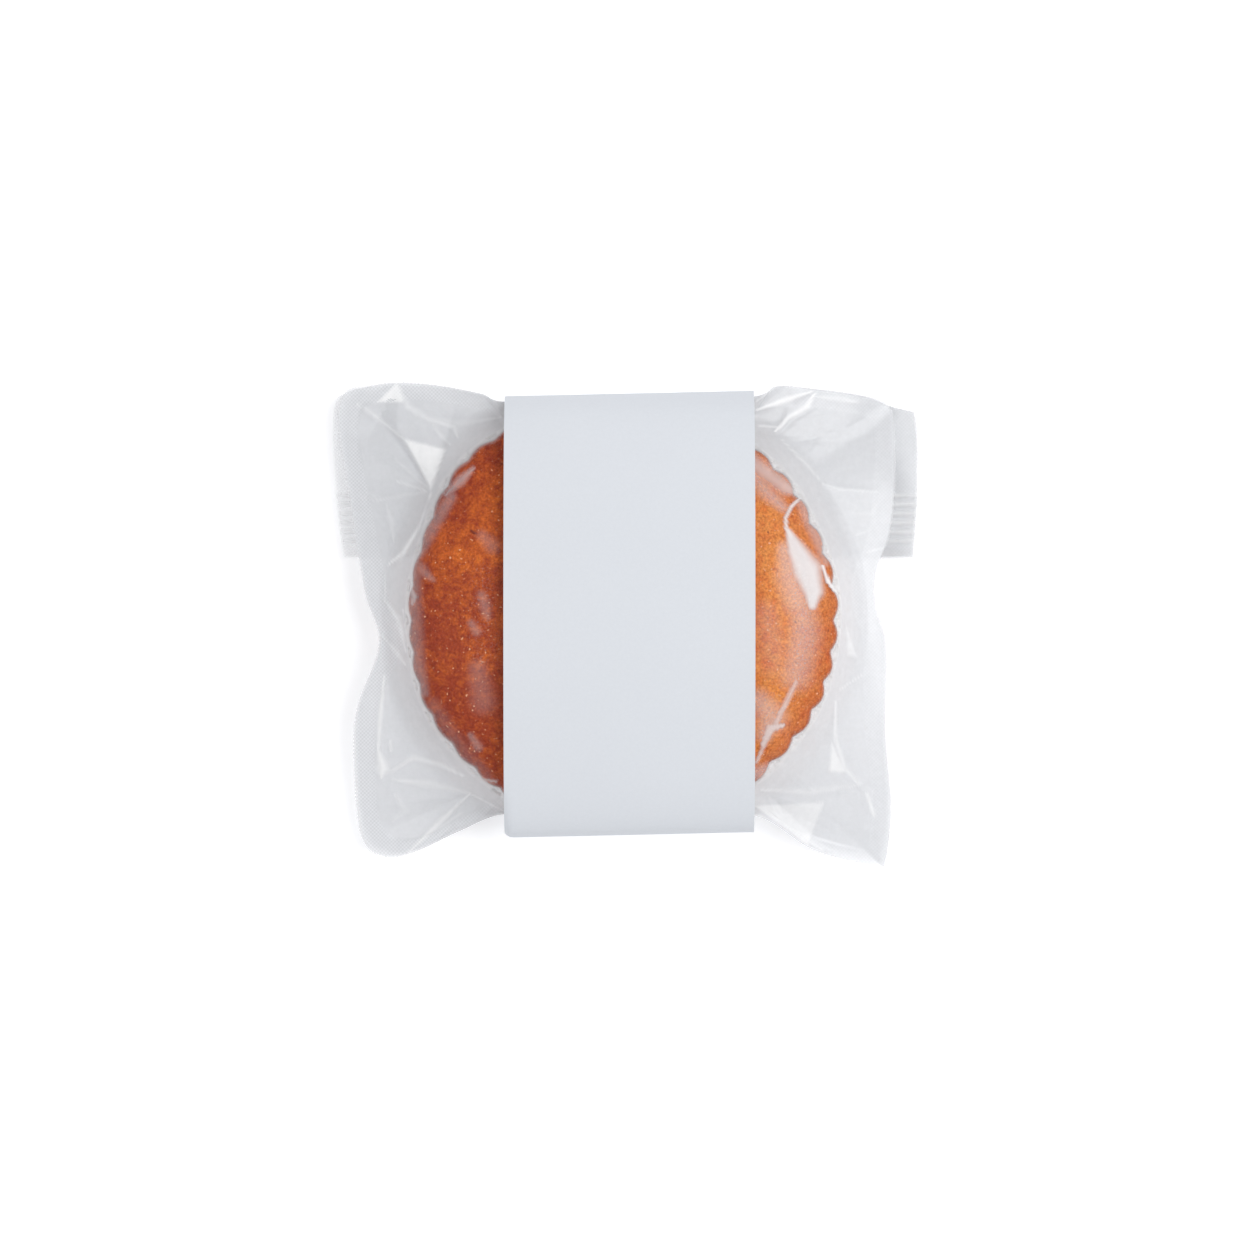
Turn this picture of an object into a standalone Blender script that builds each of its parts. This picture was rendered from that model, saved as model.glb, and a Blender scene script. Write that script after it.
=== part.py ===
"""A round fluted madeleine, sealed in a clear film bag and held by a paper sleeve.

The pack lies flat with the crust up. X runs across the bag, the sleeve goes round the pack along Y, and
+Z is up. The origin is on the surface that the pack lies on, under the middle of the bag. Sizes are in
metres, written as millimetres times MM.
"""

import bisect
import math

import bmesh
import bpy
from mathutils import Vector

MM = 0.001

# The cake: a cone with flutes, widest at its rim, with a rounded shoulder and a low domed crust
CAKE_CENTRE = Vector((-0.4, 1.4)) * MM
CAKE_FOOT_RADIUS = 31.0 * MM
CAKE_RIM_RADIUS = 39.0 * MM
CAKE_SHOULDER_RADIUS = 34.8 * MM
CAKE_FOOT_Z = 2.05 * MM
CAKE_RIM_Z = 15.5 * MM
CAKE_SHOULDER_Z = 20.8 * MM
CAKE_TOP_Z = 26.0 * MM
CAKE_FOOT_ROUND = 0.8 * MM
FLUTES = 40
FLUTE_DEPTH = 1.3 * MM
STEPS_IN_A_FLUTE = 4
SHOULDER_STEPS = 3
CROWN_RADII = [26.0 * MM, 17.0 * MM, 8.0 * MM]

# The bag: a skirt round the cake, a floor under it, and its top end folded back below it
FLOOR_Z = 1.45 * MM
FLOOR_THICKNESS = 0.35 * MM
FLOOR_RADIUS = 31.8 * MM
SIDE_TURN_RADIUS = 36.5 * MM
SIDE_TURN_Z = 9.3 * MM
SKIRT_THICKNESS = 0.9 * MM
SKIRT_ROOT_THICKNESS = 4.4 * MM
SKIRT_TOP_Z = 16.0 * MM
TENT_POWER = 1.7
SKIRT_RINGS = 3
CAKE_GAP = 0.35 * MM
POCKET_RADIUS = CAKE_RIM_RADIUS + CAKE_GAP
CAKE_OPENING_Z = 30.0 * MM
FLAP_THICKNESS = 0.5 * MM
FLAP_END_Y = 13.2 * MM
FLAP_END_MIDDLE_Z = 0.8 * MM
FLAP_END_SIDE_Z = 2.8 * MM
FLAP_TUCK = 0.6 * MM
FLAP_ROOT = 0.21
FLAP_OVERLAP = 0.1 * MM
FLAP_DROP = 0.55 * MM
FLAP_COLUMNS = 40
FLAP_ROWS = 10
SPAN_STEPS = 8

# The folded top edge, left to right, then the free edges, clockwise: x, y and height in millimetres
FOLDED_EDGE = [
    (-52.4, 43.3, 6.0),
    (-47.7, 44.6, 7.5),
    (-42.1, 45.2, 8.5),
    (-34.7, 44.6, 10.0),
    (-26.8, 43.0, 12.5),
    (-21.5, 41.4, 14.0),
    (0.0, 41.8, 14.3),
    (23.0, 42.3, 14.2),
    (28.2, 44.4, 11.5),
    (34.1, 44.1, 10.0),
    (44.4, 42.8, 7.5),
    (49.3, 41.0, 6.0),
]
RIGHT_EDGE = [
    (50.4, 36.3, 6.5),
    (50.3, 25.7, 8.0),
    (49.0, 17.7, 8.5),
    (46.6, 5.6, 9.5),
    (48.9, -3.5, 9.0),
    (48.7, -20.0, 8.0),
    (49.8, -33.5, 6.0),
    (48.9, -44.5, 3.5),
]
LOWER_EDGE = [
    (46.8, -45.3, 3.5),
    (35.1, -41.9, 6.5),
    (24.6, -35.6, 11.0),
    (12.0, -36.2, 11.5),
    (0.0, -36.5, 11.5),
    (-12.0, -36.2, 11.5),
    (-22.6, -35.2, 11.5),
    (-31.0, -38.5, 8.5),
    (-39.3, -42.4, 5.5),
    (-44.9, -43.3, 4.5),
]
LEFT_EDGE = [
    (-49.2, -39.8, 4.5),
    (-50.5, -28.0, 7.0),
    (-50.1, -16.0, 8.5),
    (-45.8, -3.4, 10.0),
    (-48.6, 6.5, 9.0),
    (-51.4, 23.3, 7.0),
    (-53.6, 37.0, 5.5),
]

# The flap's sides, from the folded edge to its free end: x and y in millimetres
FLAP_LEFT = [(-54.0, 42.2), (-55.0, 38.0), (-53.7, 24.0), (-52.7, 13.2)]
FLAP_RIGHT = [(53.2, 40.2), (54.9, 36.5), (54.7, 24.0), (53.7, 13.2)]

# The sleeve: a taut loop of paper round the section of the pack
SLEEVE_LEFT_X = -22.2 * MM
SLEEVE_RIGHT_X = 23.8 * MM
PAPER = 0.35 * MM
SLEEVE_SKEW = 0.022
SLEEVE_CLEARANCE = 0.75 * MM
LOOP_STEP = math.radians(10)
LOOP_CROWN_STEPS = 9
# What the loop turns round besides the crust: y, z and radius, in millimetres
LOOP_TURNS = [
    (-30.5, 2.35, 2.0),
    (33.5, 2.35, 2.0),
    (39.95, 13.8, 2.5),
    (-34.45, 15.0, 4.0),
]

CRUST_COLOUR = (0.42, 0.14, 0.05, 1.0)
FILM_COLOUR = (0.80, 0.81, 0.83, 1.0)
PAPER_COLOUR = (0.74, 0.76, 0.80, 1.0)

STATIONS = FLUTES * STEPS_IN_A_FLUTE


def clear_scene():
    for obj in list(bpy.data.objects):
        bpy.data.objects.remove(obj)


def blend(low, high, amount):
    return low + (high - low) * amount


def within(value, low, high):
    return max(low, min(high, value))


def material(name, colour, roughness):
    made = bpy.data.materials.new(name)
    made.use_nodes = True
    shader = made.node_tree.nodes["Principled BSDF"]
    shader.inputs["Base Color"].default_value = colour
    shader.inputs["Roughness"].default_value = roughness
    shader.inputs["Metallic"].default_value = 0.0
    return made


def add_object(name, bm, parent, finish=None):
    """Turns the bmesh into an object, its faces outwards and its round sides shaded smooth."""
    bmesh.ops.recalc_face_normals(bm, faces=bm.faces)
    mesh = bpy.data.meshes.new(name)
    bm.to_mesh(mesh)
    bm.free()
    mesh.shade_smooth()
    mesh.set_sharp_from_angle(angle=math.radians(40))
    obj = bpy.data.objects.new(name, mesh)
    bpy.context.scene.collection.objects.link(obj)
    obj.parent = parent
    if finish:
        mesh.materials.append(finish)
    return obj


def as_helper(obj):
    """A cutter or an added shape, which isn't a piece of the object itself."""
    obj.hide_render = True
    obj.display_type = "WIRE"


def combine(obj, helper, operation):
    modifier = obj.modifiers.new(helper.name, "BOOLEAN")
    modifier.operation = operation
    modifier.solver = "EXACT"
    modifier.object = helper


def smooth_line(points, closed=False):
    """Points in metres along a smooth curve through the given ones, with SPAN_STEPS to each span."""
    known = [Vector(point) * MM for point in points]
    count = len(known)
    spans = count if closed else count - 1
    line = []
    for index in range(spans):
        if closed:
            before, start, end, after = (known[(index + shift) % count] for shift in (-1, 0, 1, 2))
        else:
            before, start = known[max(index - 1, 0)], known[index]
            end, after = known[index + 1], known[min(index + 2, count - 1)]
        for step in range(SPAN_STEPS):
            t = step / SPAN_STEPS
            line.append(
                0.5
                * (
                    2 * start
                    + (end - before) * t
                    + (2 * before - 5 * start + 4 * end - after) * t**2
                    + (3 * start - before - 3 * end + after) * t**3
                )
            )
    if not closed:
        line.append(known[-1])
    return line


def along(line, amount):
    """The point at this share, 0 to 1, of the line's list of points."""
    place = within(amount, 0.0, 1.0) * (len(line) - 1)
    index = min(int(place), len(line) - 2)
    return line[index].lerp(line[index + 1], place - index)


class Edge:
    """The bag's outline, as the radius and the height at each direction from the cake's middle."""

    def __init__(self, points):
        found = []
        for point in smooth_line(points, closed=True):
            offset = point.xy - CAKE_CENTRE
            found.append((math.atan2(offset.y, offset.x), offset.length, point.z))
        found.sort()
        last, first = found[-1], found[0]
        found.insert(0, (last[0] - math.tau, last[1], last[2]))
        found.append((first[0] + math.tau, first[1], first[2]))
        self.table = found
        self.angles = [entry[0] for entry in found]

    def at(self, angle):
        angle = math.atan2(math.sin(angle), math.cos(angle))
        index = within(bisect.bisect_right(self.angles, angle), 1, len(self.table) - 1)
        low, high = self.table[index - 1], self.table[index]
        share = (angle - low[0]) / (high[0] - low[0])
        return blend(low[1], high[1], share), blend(low[2], high[2], share)


def ring(bm, radius_and_height, centre=CAKE_CENTRE, count=STATIONS):
    """A loop of vertices. radius_and_height gives both for an angle."""
    made = []
    for index in range(count):
        angle = math.tau * index / count
        radius, height = radius_and_height(angle)
        x = centre.x + radius * math.cos(angle)
        y = centre.y + radius * math.sin(angle)
        made.append(bm.verts.new((x, y, height)))
    return made


def join_rings(bm, lower, upper):
    count = len(lower)
    for index in range(count):
        after = (index + 1) % count
        bm.faces.new((lower[index], lower[after], upper[after], upper[index]))


def join_to_fewer(bm, many, few):
    """Joins a ring to one with a whole fraction of its vertices."""
    step = len(many) // len(few)
    for index, vertex in enumerate(few):
        first = index * step
        following = few[(index + 1) % len(few)]
        for shift in range(step):
            near = many[first + shift]
            beyond = many[(first + shift + 1) % len(many)]
            bm.faces.new((near, beyond, vertex if shift < step // 2 else following))
        middle = many[first + step // 2]
        bm.faces.new((middle, following, vertex))


def close_ring(bm, loop, height, centre=CAKE_CENTRE):
    pole = bm.verts.new((centre.x, centre.y, height))
    count = len(loop)
    for index in range(count):
        bm.faces.new((loop[index], loop[(index + 1) % count], pole))


def crown_height(radius):
    """The crust's low dome, which meets the shoulder at its own radius."""
    fall = (CAKE_TOP_Z - CAKE_SHOULDER_Z) * (radius / CAKE_SHOULDER_RADIUS) ** 2
    return CAKE_TOP_Z - fall


def cake_profile():
    """Radius, height and flute depth of each ring up the side of the cake."""
    foot_slope = (CAKE_RIM_RADIUS - CAKE_FOOT_RADIUS) / (CAKE_RIM_Z - CAKE_FOOT_Z)
    middle_z = (CAKE_RIM_Z + CAKE_FOOT_Z) / 2
    middle_radius = CAKE_FOOT_RADIUS + foot_slope * (middle_z - CAKE_FOOT_Z)
    profile = [
        (CAKE_FOOT_RADIUS - CAKE_FOOT_ROUND, CAKE_FOOT_Z, FLUTE_DEPTH * 0.5),
        (CAKE_FOOT_RADIUS, CAKE_FOOT_Z + CAKE_FOOT_ROUND, FLUTE_DEPTH * 0.7),
        (middle_radius, middle_z, FLUTE_DEPTH * 0.9),
        (CAKE_RIM_RADIUS, CAKE_RIM_Z, FLUTE_DEPTH),
    ]
    for step in range(1, SHOULDER_STEPS + 1):
        turn = math.pi / 2 * step / SHOULDER_STEPS
        radius = blend(CAKE_RIM_RADIUS, CAKE_SHOULDER_RADIUS, 1 - math.cos(turn))
        height = blend(CAKE_RIM_Z, CAKE_SHOULDER_Z, math.sin(turn))
        profile.append((radius, height, FLUTE_DEPTH * math.cos(turn) * 0.8))
    return profile


def fluted(radius, height, depth):
    """Round crests that meet in sharp valleys, FLUTES of them round the cake."""

    def shape(angle):
        rise = abs(math.sin(angle * FLUTES / 2))
        return radius - depth * (1 - rise), height

    return shape


def make_cake(parent, finish):
    bm = bmesh.new()
    middle = Vector((0.0, 0.0))
    rings = [ring(bm, fluted(*entry), middle) for entry in cake_profile()]
    for lower, upper in zip(rings, rings[1:]):
        join_rings(bm, lower, upper)
    close_ring(bm, rings[0], CAKE_FOOT_Z, middle)

    crown = [
        ring(bm, lambda angle, radius=radius: (radius, crown_height(radius)), middle, FLUTES)
        for radius in CROWN_RADII
    ]
    join_to_fewer(bm, rings[-1], crown[0])
    for outer, inner in zip(crown, crown[1:]):
        join_rings(bm, outer, inner)
    close_ring(bm, crown[-1], CAKE_TOP_Z, middle)

    cake = add_object("cake", bm, parent, finish)
    cake.location = (CAKE_CENTRE.x, CAKE_CENTRE.y, 0.0)


def skirt_top(edge, angle, share):
    """The skirt's upper side, slung like a tent from the cake's rim (share 0) to the edge (share 1)."""
    edge_radius, edge_z = edge.at(angle)
    low = edge_z + SKIRT_THICKNESS / 2
    room = within((edge_radius - POCKET_RADIUS) / (3 * MM), 0.0, 1.0)
    return blend(low, blend(low, SKIRT_TOP_Z, room), (1 - share) ** TENT_POWER)


def straight_below(edge, angle, radius):
    """Height of the straight line from the floor's rim to the underside of the edge."""
    edge_radius, edge_z = edge.at(angle)
    share = within((radius - FLOOR_RADIUS) / (edge_radius - FLOOR_RADIUS), 0.0, 1.0)
    return blend(FLOOR_Z, edge_z - SKIRT_THICKNESS / 2, share)


def skirt_share(edge, angle, radius):
    width = max(edge.at(angle)[0] - POCKET_RADIUS, 0.5 * MM)
    return within((radius - POCKET_RADIUS) / width, 0.0, 1.0)


def underside(edge, angle, radius):
    """Height of the bag's underside: flat below the cake, up along its side, then out to the edge."""
    side_slope = (SIDE_TURN_Z - FLOOR_Z) / (SIDE_TURN_RADIUS - FLOOR_RADIUS)
    beside_cake = FLOOR_Z + (radius - FLOOR_RADIUS) * side_slope
    share = skirt_share(edge, angle, radius)
    thickness = blend(SKIRT_THICKNESS, SKIRT_ROOT_THICKNESS, (1 - share) ** 2)
    below_skirt = skirt_top(edge, angle, share) - thickness
    return max(straight_below(edge, angle, radius), min(beside_cake, below_skirt))


def upper_ring(edge, share):
    def shape(angle):
        edge_radius = edge.at(angle)[0]
        start = min(POCKET_RADIUS, edge_radius - 0.5 * MM)
        return blend(start, edge_radius, share), skirt_top(edge, angle, share)

    return shape


def lower_ring(edge, inner_radius, limit, share):
    """A ring of the underside. limit keeps the inner radius this far short of a near edge."""

    def shape(angle):
        edge_radius = edge.at(angle)[0]
        start = min(inner_radius, blend(FLOOR_RADIUS, edge_radius, limit))
        radius = blend(start, edge_radius, share)
        return radius, underside(edge, angle, radius)

    return shape


def skirt_rings(edge):
    """How the bag's rings run: out over the skirt, then back below it to the cake's foot."""
    shares = [step / SKIRT_RINGS for step in range(SKIRT_RINGS + 1)]
    rings = [upper_ring(edge, share) for share in shares]
    rings += [lower_ring(edge, POCKET_RADIUS, 0.8, share) for share in reversed(shares)]
    rings.append(lower_ring(edge, SIDE_TURN_RADIUS, 0.6, 0.0))
    rings.append(lower_ring(edge, FLOOR_RADIUS, 0.0, 0.0))
    return rings


def make_pocket_cutter(parent):
    """The room that the cake takes, open at the top, where the film is too thin to be a solid."""
    bm = bmesh.new()
    foot_z = FLOOR_Z + FLOOR_THICKNESS
    levels = [
        (CAKE_FOOT_RADIUS + CAKE_GAP, foot_z),
        (POCKET_RADIUS, CAKE_RIM_Z),
        (POCKET_RADIUS, CAKE_OPENING_Z),
    ]
    rings = [ring(bm, lambda angle, level=level: level) for level in levels]
    for lower, upper in zip(rings, rings[1:]):
        join_rings(bm, lower, upper)
    close_ring(bm, rings[0], foot_z)
    close_ring(bm, rings[-1], CAKE_OPENING_Z)
    cutter = add_object("cake_pocket", bm, parent)
    as_helper(cutter)
    return cutter


def make_flap(parent, edge):
    """The bag's top end, folded back below the skirt. It joins the skirt at its root and hangs free."""
    fold = smooth_line([(*FLAP_LEFT[0], 5.5), *FOLDED_EDGE, (*FLAP_RIGHT[0], 5.0)])
    left, right = smooth_line(FLAP_LEFT), smooth_line(FLAP_RIGHT)
    bm = bmesh.new()
    tops, bottoms = [], []
    for row in range(FLAP_ROWS + 1):
        down = row / FLAP_ROWS
        for column in range(FLAP_COLUMNS + 1):
            across = column / FLAP_COLUMNS
            start = along(fold, across)
            x = blend(along(left, down).x, along(right, down).x, across)
            y = blend(start.y - FLAP_TUCK, FLAP_END_Y, down)
            x = blend(start.x, x, within(down * 4, 0.0, 1.0))
            side = abs(2 * across - 1) ** 2
            end_z = blend(FLAP_END_MIDDLE_Z, FLAP_END_SIDE_Z, side)
            z = blend(start.z - SKIRT_THICKNESS / 2, end_z, down)
            offset = Vector((x, y)) - CAKE_CENTRE
            angle = math.atan2(offset.y, offset.x)
            radius = offset.length
            rooted = down < FLAP_ROOT and radius < edge.at(angle)[0] + FLAP_TUCK
            z = min(z, straight_below(edge, angle, radius) - (FLAP_OVERLAP if rooted else FLAP_DROP))
            top = z + FLAP_THICKNESS / 2
            if rooted:
                above = skirt_top(edge, angle, skirt_share(edge, angle, radius))
                top = (underside(edge, angle, radius) + above) / 2
            tops.append(bm.verts.new((x, y, top)))
            bottoms.append(bm.verts.new((x, y, z - FLAP_THICKNESS / 2)))
    wide = FLAP_COLUMNS + 1
    for row in range(FLAP_ROWS):
        for column in range(FLAP_COLUMNS):
            corner = row * wide + column
            opposite = corner + wide + 1
            # Both faces of the sheet are split into triangles alike, so that they can't cross
            for loop in ((corner, corner + 1, opposite), (corner, opposite, corner + wide)):
                bm.faces.new([tops[index] for index in loop])
                bm.faces.new([bottoms[index] for index in reversed(loop)])
    border = [*range(wide)]
    border += [row * wide + FLAP_COLUMNS for row in range(1, FLAP_ROWS + 1)]
    border += [FLAP_ROWS * wide + column for column in reversed(range(FLAP_COLUMNS))]
    border += [row * wide for row in reversed(range(1, FLAP_ROWS))]
    for here, after in zip(border, border[1:] + border[:1]):
        bm.faces.new((tops[here], bottoms[here], bottoms[after], tops[after]))
    flap = add_object("folded_flap", bm, parent)
    as_helper(flap)
    return flap


def make_bag(parent, finish):
    edge = Edge(FOLDED_EDGE + RIGHT_EDGE + LOWER_EDGE + LEFT_EDGE)
    bm = bmesh.new()
    rings = [ring(bm, shape) for shape in skirt_rings(edge)]
    for upper, lower in zip(rings, rings[1:]):
        join_rings(bm, upper, lower)
    close_ring(bm, rings[0], SKIRT_TOP_Z)
    close_ring(bm, rings[-1], FLOOR_Z)
    bag = add_object("bag", bm, parent, finish)
    combine(bag, make_flap(parent, edge), "UNION")
    combine(bag, make_pocket_cutter(parent), "DIFFERENCE")


def taut_outline(points):
    """The convex outline of points in the plane, anticlockwise."""

    def chain(ordered):
        kept = []
        for point in ordered:
            while len(kept) > 1 and (kept[-1] - kept[-2]).cross(point - kept[-1]) <= 0:
                kept.pop()
            kept.append(point)
        return kept[:-1]

    ordered = sorted(points, key=lambda point: (point.x, point.y))
    return chain(ordered) + chain(ordered[::-1])


def loop_outline():
    """The taut loop's inner face in the YZ plane, as y and z, and each point's way out."""
    points = []
    for y, z, radius in LOOP_TURNS:
        for step in range(round(math.tau / LOOP_STEP)):
            turn = Vector((math.cos(step * LOOP_STEP), math.sin(step * LOOP_STEP)))
            points.append((Vector((y, z)) + turn * radius) * MM)
    crust = [(radius, height) for radius, height, _ in cake_profile()[3:]]
    for step in range(LOOP_CROWN_STEPS):
        radius = CAKE_SHOULDER_RADIUS * step / LOOP_CROWN_STEPS
        crust.append((radius, crown_height(radius)))
    for radius, height in crust:
        for side in (-1, 1):
            lift = Vector((side * radius, CAKE_TOP_Z - CAKE_SHOULDER_Z)).normalized()
            place = Vector((CAKE_CENTRE.y + side * radius, height))
            points.append(place + lift * SLEEVE_CLEARANCE)
    inner = taut_outline(points)
    ways_out = []
    for before, after in zip(inner[-1:] + inner[:-1], inner[1:] + inner[:1]):
        along_loop = (after - before).normalized()
        ways_out.append(Vector((along_loop.y, -along_loop.x)))
    return inner, ways_out


def make_sleeve(parent, finish):
    inner, ways_out = loop_outline()
    outer = [point + way * PAPER for point, way in zip(inner, ways_out)]
    bm = bmesh.new()
    loops = []
    for x, outline in (
        (SLEEVE_LEFT_X, inner),
        (SLEEVE_RIGHT_X, inner),
        (SLEEVE_RIGHT_X, outer),
        (SLEEVE_LEFT_X, outer),
    ):
        shift = SLEEVE_SKEW * x
        loops.append([bm.verts.new((x, point.x + shift, point.y)) for point in outline])
    for here, after in zip(loops, loops[1:] + loops[:1]):
        join_rings(bm, here, after)
    add_object("sleeve", bm, parent, finish)


def main():
    clear_scene()
    pack = bpy.data.objects.new("pack", None)
    bpy.context.scene.collection.objects.link(pack)
    make_cake(pack, material("crust", CRUST_COLOUR, 0.55))
    make_bag(pack, material("film", FILM_COLOUR, 0.15))
    make_sleeve(pack, material("paper", PAPER_COLOUR, 0.75))


main()
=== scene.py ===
# %% [markdown]
# # A madeleine in a clear film bag, held by a paper sleeve
# The pack is seen from straight above. A fluted cake lies crust up in a bag of clear film that was
# emptied of air, so the film clings to the crust and hangs from its rim in tight creases. The bag's top
# end is folded away underneath, and a loop of pale paper holds everything together.
# Each piece below stands for a solid of the frame, at its place and size, and the bag's folded end is a
# piece of its own.

# %% Load the frame
import math

import bmesh
import bpy
import numpy as np
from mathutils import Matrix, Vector


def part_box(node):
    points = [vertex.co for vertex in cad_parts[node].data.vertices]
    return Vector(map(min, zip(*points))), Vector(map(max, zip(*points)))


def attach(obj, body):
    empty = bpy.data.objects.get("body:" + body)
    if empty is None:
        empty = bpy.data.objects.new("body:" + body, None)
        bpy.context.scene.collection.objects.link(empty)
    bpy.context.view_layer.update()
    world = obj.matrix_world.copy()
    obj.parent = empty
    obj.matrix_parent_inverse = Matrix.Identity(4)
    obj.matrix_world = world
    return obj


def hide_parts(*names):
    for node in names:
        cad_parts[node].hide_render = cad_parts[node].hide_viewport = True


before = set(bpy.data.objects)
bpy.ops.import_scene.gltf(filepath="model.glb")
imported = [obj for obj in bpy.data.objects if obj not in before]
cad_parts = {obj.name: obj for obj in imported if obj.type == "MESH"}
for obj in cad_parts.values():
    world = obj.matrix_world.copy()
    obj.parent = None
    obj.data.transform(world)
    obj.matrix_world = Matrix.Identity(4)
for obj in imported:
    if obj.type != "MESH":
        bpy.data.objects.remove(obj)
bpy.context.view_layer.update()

# %% [markdown]
# ## Sizes
# Shapes here are worked out in millimetres, because creases and paper are easiest to think of that way,
# and a mesh is turned to metres when it is made. The cake's and the sleeve's own sizes are read from
# their solids, so that the dressed pieces stay where the solids are.

# %% Sizes from the frame
MM = 0.001
cake_low, cake_high = (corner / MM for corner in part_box("cake"))
sleeve_low, sleeve_high = (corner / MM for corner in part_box("sleeve"))
CAKE_X = (cake_low.x + cake_high.x) / 2
CAKE_Y = (cake_low.y + cake_high.y) / 2
RIM_REACH = 0.6
RIM_RADIUS = (cake_high.x - cake_low.x) / 2 + RIM_REACH
FOOT_Z = cake_low.z
TOP_Z = cake_high.z
FOOT_RADIUS = 31.0
RIM_Z = 15.5
FLUTES = 40
FLUTE_DEPTH = 1.0
VALLEY_ROUNDING = 0.03
FILM_LIFT = 0.22
print("cake", round(2 * RIM_RADIUS, 1), "mm across,", round(TOP_Z - FOOT_Z, 1), "mm thick")

# %% [markdown]
# ## The camera
# The photograph was taken from straight above, from about a metre away: the raised sleeve looks only a
# little larger at its middle than at its ends. A long lens at that distance gives the same mild
# perspective. The frame spans 232.5 mm at the height of the bag's edges.

# %% The camera
FRAME_WIDTH = 232.5 * MM
CAMERA_DISTANCE = 1.0
EDGE_PLANE = 8 * MM
camera_data = bpy.data.cameras.new("camera")
camera_data.lens = camera_data.sensor_width * CAMERA_DISTANCE / FRAME_WIDTH
camera = bpy.data.objects.new("camera", camera_data)
camera.location = (0.0, 0.0, CAMERA_DISTANCE + EDGE_PLANE)
bpy.context.scene.collection.objects.link(camera)
bpy.context.scene.camera = camera
print("lens", round(camera_data.lens, 1), "mm")

# %% [markdown]
# ## Small tools
# Every sheet here is a grid of points: so many round or across, so many along. One helper turns such a
# grid into a mesh, and another draws a smooth line through a few given points.


# %% Helpers for grids and lines
def smoothstep(low, high, value):
    share = np.clip((value - low) / (high - low), 0.0, 1.0)
    return share * share * (3 - 2 * share)


def smooth_line(points, count, closed=False):
    """Points at even steps along a smooth curve through the given ones."""
    known = np.asarray(points, float)
    if closed:
        known = np.vstack([known[-1:], known, known[:2]])
    else:
        known = np.vstack([2 * known[:1] - known[1:2], known, 2 * known[-1:] - known[-2:-1]])
    t = np.linspace(0, 1, 24, endpoint=False)[:, None]
    pieces = []
    for before, start, end, after in zip(known, known[1:], known[2:], known[3:]):
        curve = 2 * start + (end - before) * t
        curve = curve + (2 * before - 5 * start + 4 * end - after) * t**2
        curve = curve + (3 * start - before - 3 * end + after) * t**3
        pieces.append(0.5 * curve)
    line = np.vstack(pieces + [known[-2:-1]])
    steps = np.linalg.norm(np.diff(line, axis=0), axis=1)
    length = np.concatenate([[0.0], np.cumsum(steps)])
    wanted = np.linspace(0, length[-1], count, endpoint=not closed)
    return np.stack([np.interp(wanted, length, line[:, axis]) for axis in range(known.shape[1])], 1)


def grid_faces(rows, columns, closed_columns=False):
    """Quads of a grid whose points run along each row in turn."""
    steps = columns if closed_columns else columns - 1
    row, column = np.meshgrid(np.arange(rows - 1), np.arange(steps), indexing="ij")
    after = (column + 1) % columns
    here = row * columns
    corners = (here + column, here + after, here + columns + after, here + columns + column)
    return np.stack([corner.ravel() for corner in corners], 1)


def cap_faces(rows, columns, first_pole, last_pole):
    """Triangles from the first and the last ring of a closed grid, each to its own pole."""
    last = (rows - 1) * columns
    faces = []
    for here in range(columns):
        after = (here + 1) % columns
        faces.append((after, here, first_pole))
        faces.append((last + here, last + after, last_pole))
    return faces


def turn_outwards(mesh):
    """Turns the faces of a closed mesh outwards and returns its volume in cubic centimetres."""
    work = bmesh.new()
    work.from_mesh(mesh)
    bmesh.ops.recalc_face_normals(work, faces=work.faces)
    volume = work.calc_volume(signed=True)
    if volume < 0:
        bmesh.ops.reverse_faces(work, faces=work.faces)
    work.to_mesh(mesh)
    work.free()
    return abs(volume) * 1e6


def make_piece(name, points_mm, faces, finish, values=None):
    """A smooth shaded object at the origin. Points come in millimetres, values as one number a point."""
    mesh = bpy.data.meshes.new(name)
    mesh.from_pydata((np.asarray(points_mm) * MM).tolist(), [], [tuple(face) for face in faces])
    volume = turn_outwards(mesh)
    mesh.materials.append(finish)
    for label, numbers in (values or {}).items():
        attribute = mesh.attributes.new(label, "FLOAT", "POINT")
        attribute.data.foreach_set("value", np.asarray(numbers, np.float32))
    mesh.shade_smooth()
    obj = bpy.data.objects.new(name, mesh)
    bpy.context.scene.collection.objects.link(obj)
    print(name, len(mesh.vertices), "points,", len(mesh.polygons), "faces,", round(volume, 2), "cm3")
    return obj


# %% [markdown]
# ## The crust
# A baked crust is light orange brown where the batter browned least and red brown where it browned
# most, with a fine grain, dark pores and a few pale specks. Noise textures of several sizes mix these
# colours, from wide blotches down to single specks. The crust is also painted paler toward +X and +Y,
# painted light from the lamps on that side, and darker toward the rim, painted shade of its falling
# shoulder, and the pale specks also stand in for painted glints. The same grain and pores drive the bump,
# so that colour and relief agree.


# %% Finish of the crust
def new_material(name):
    made = bpy.data.materials.new(name)
    made.use_nodes = True
    tree = made.node_tree
    return made, tree, tree.nodes["Principled BSDF"]


def math_node(tree, kind, first, second=None):
    node = tree.nodes.new("ShaderNodeMath")
    node.operation = kind
    for socket, value in zip(node.inputs, (first, second)):
        if isinstance(value, (int, float)):
            socket.default_value = value
        elif value is not None:
            tree.links.new(value, socket)
    return node.outputs[0]


def noise_node(tree, place, scale, detail=2.0, roughness=0.5):
    node = tree.nodes.new("ShaderNodeTexNoise")
    node.inputs["Scale"].default_value = scale
    node.inputs["Detail"].default_value = detail
    node.inputs["Roughness"].default_value = roughness
    tree.links.new(place, node.inputs["Vector"])
    return node.outputs["Fac"]


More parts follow.
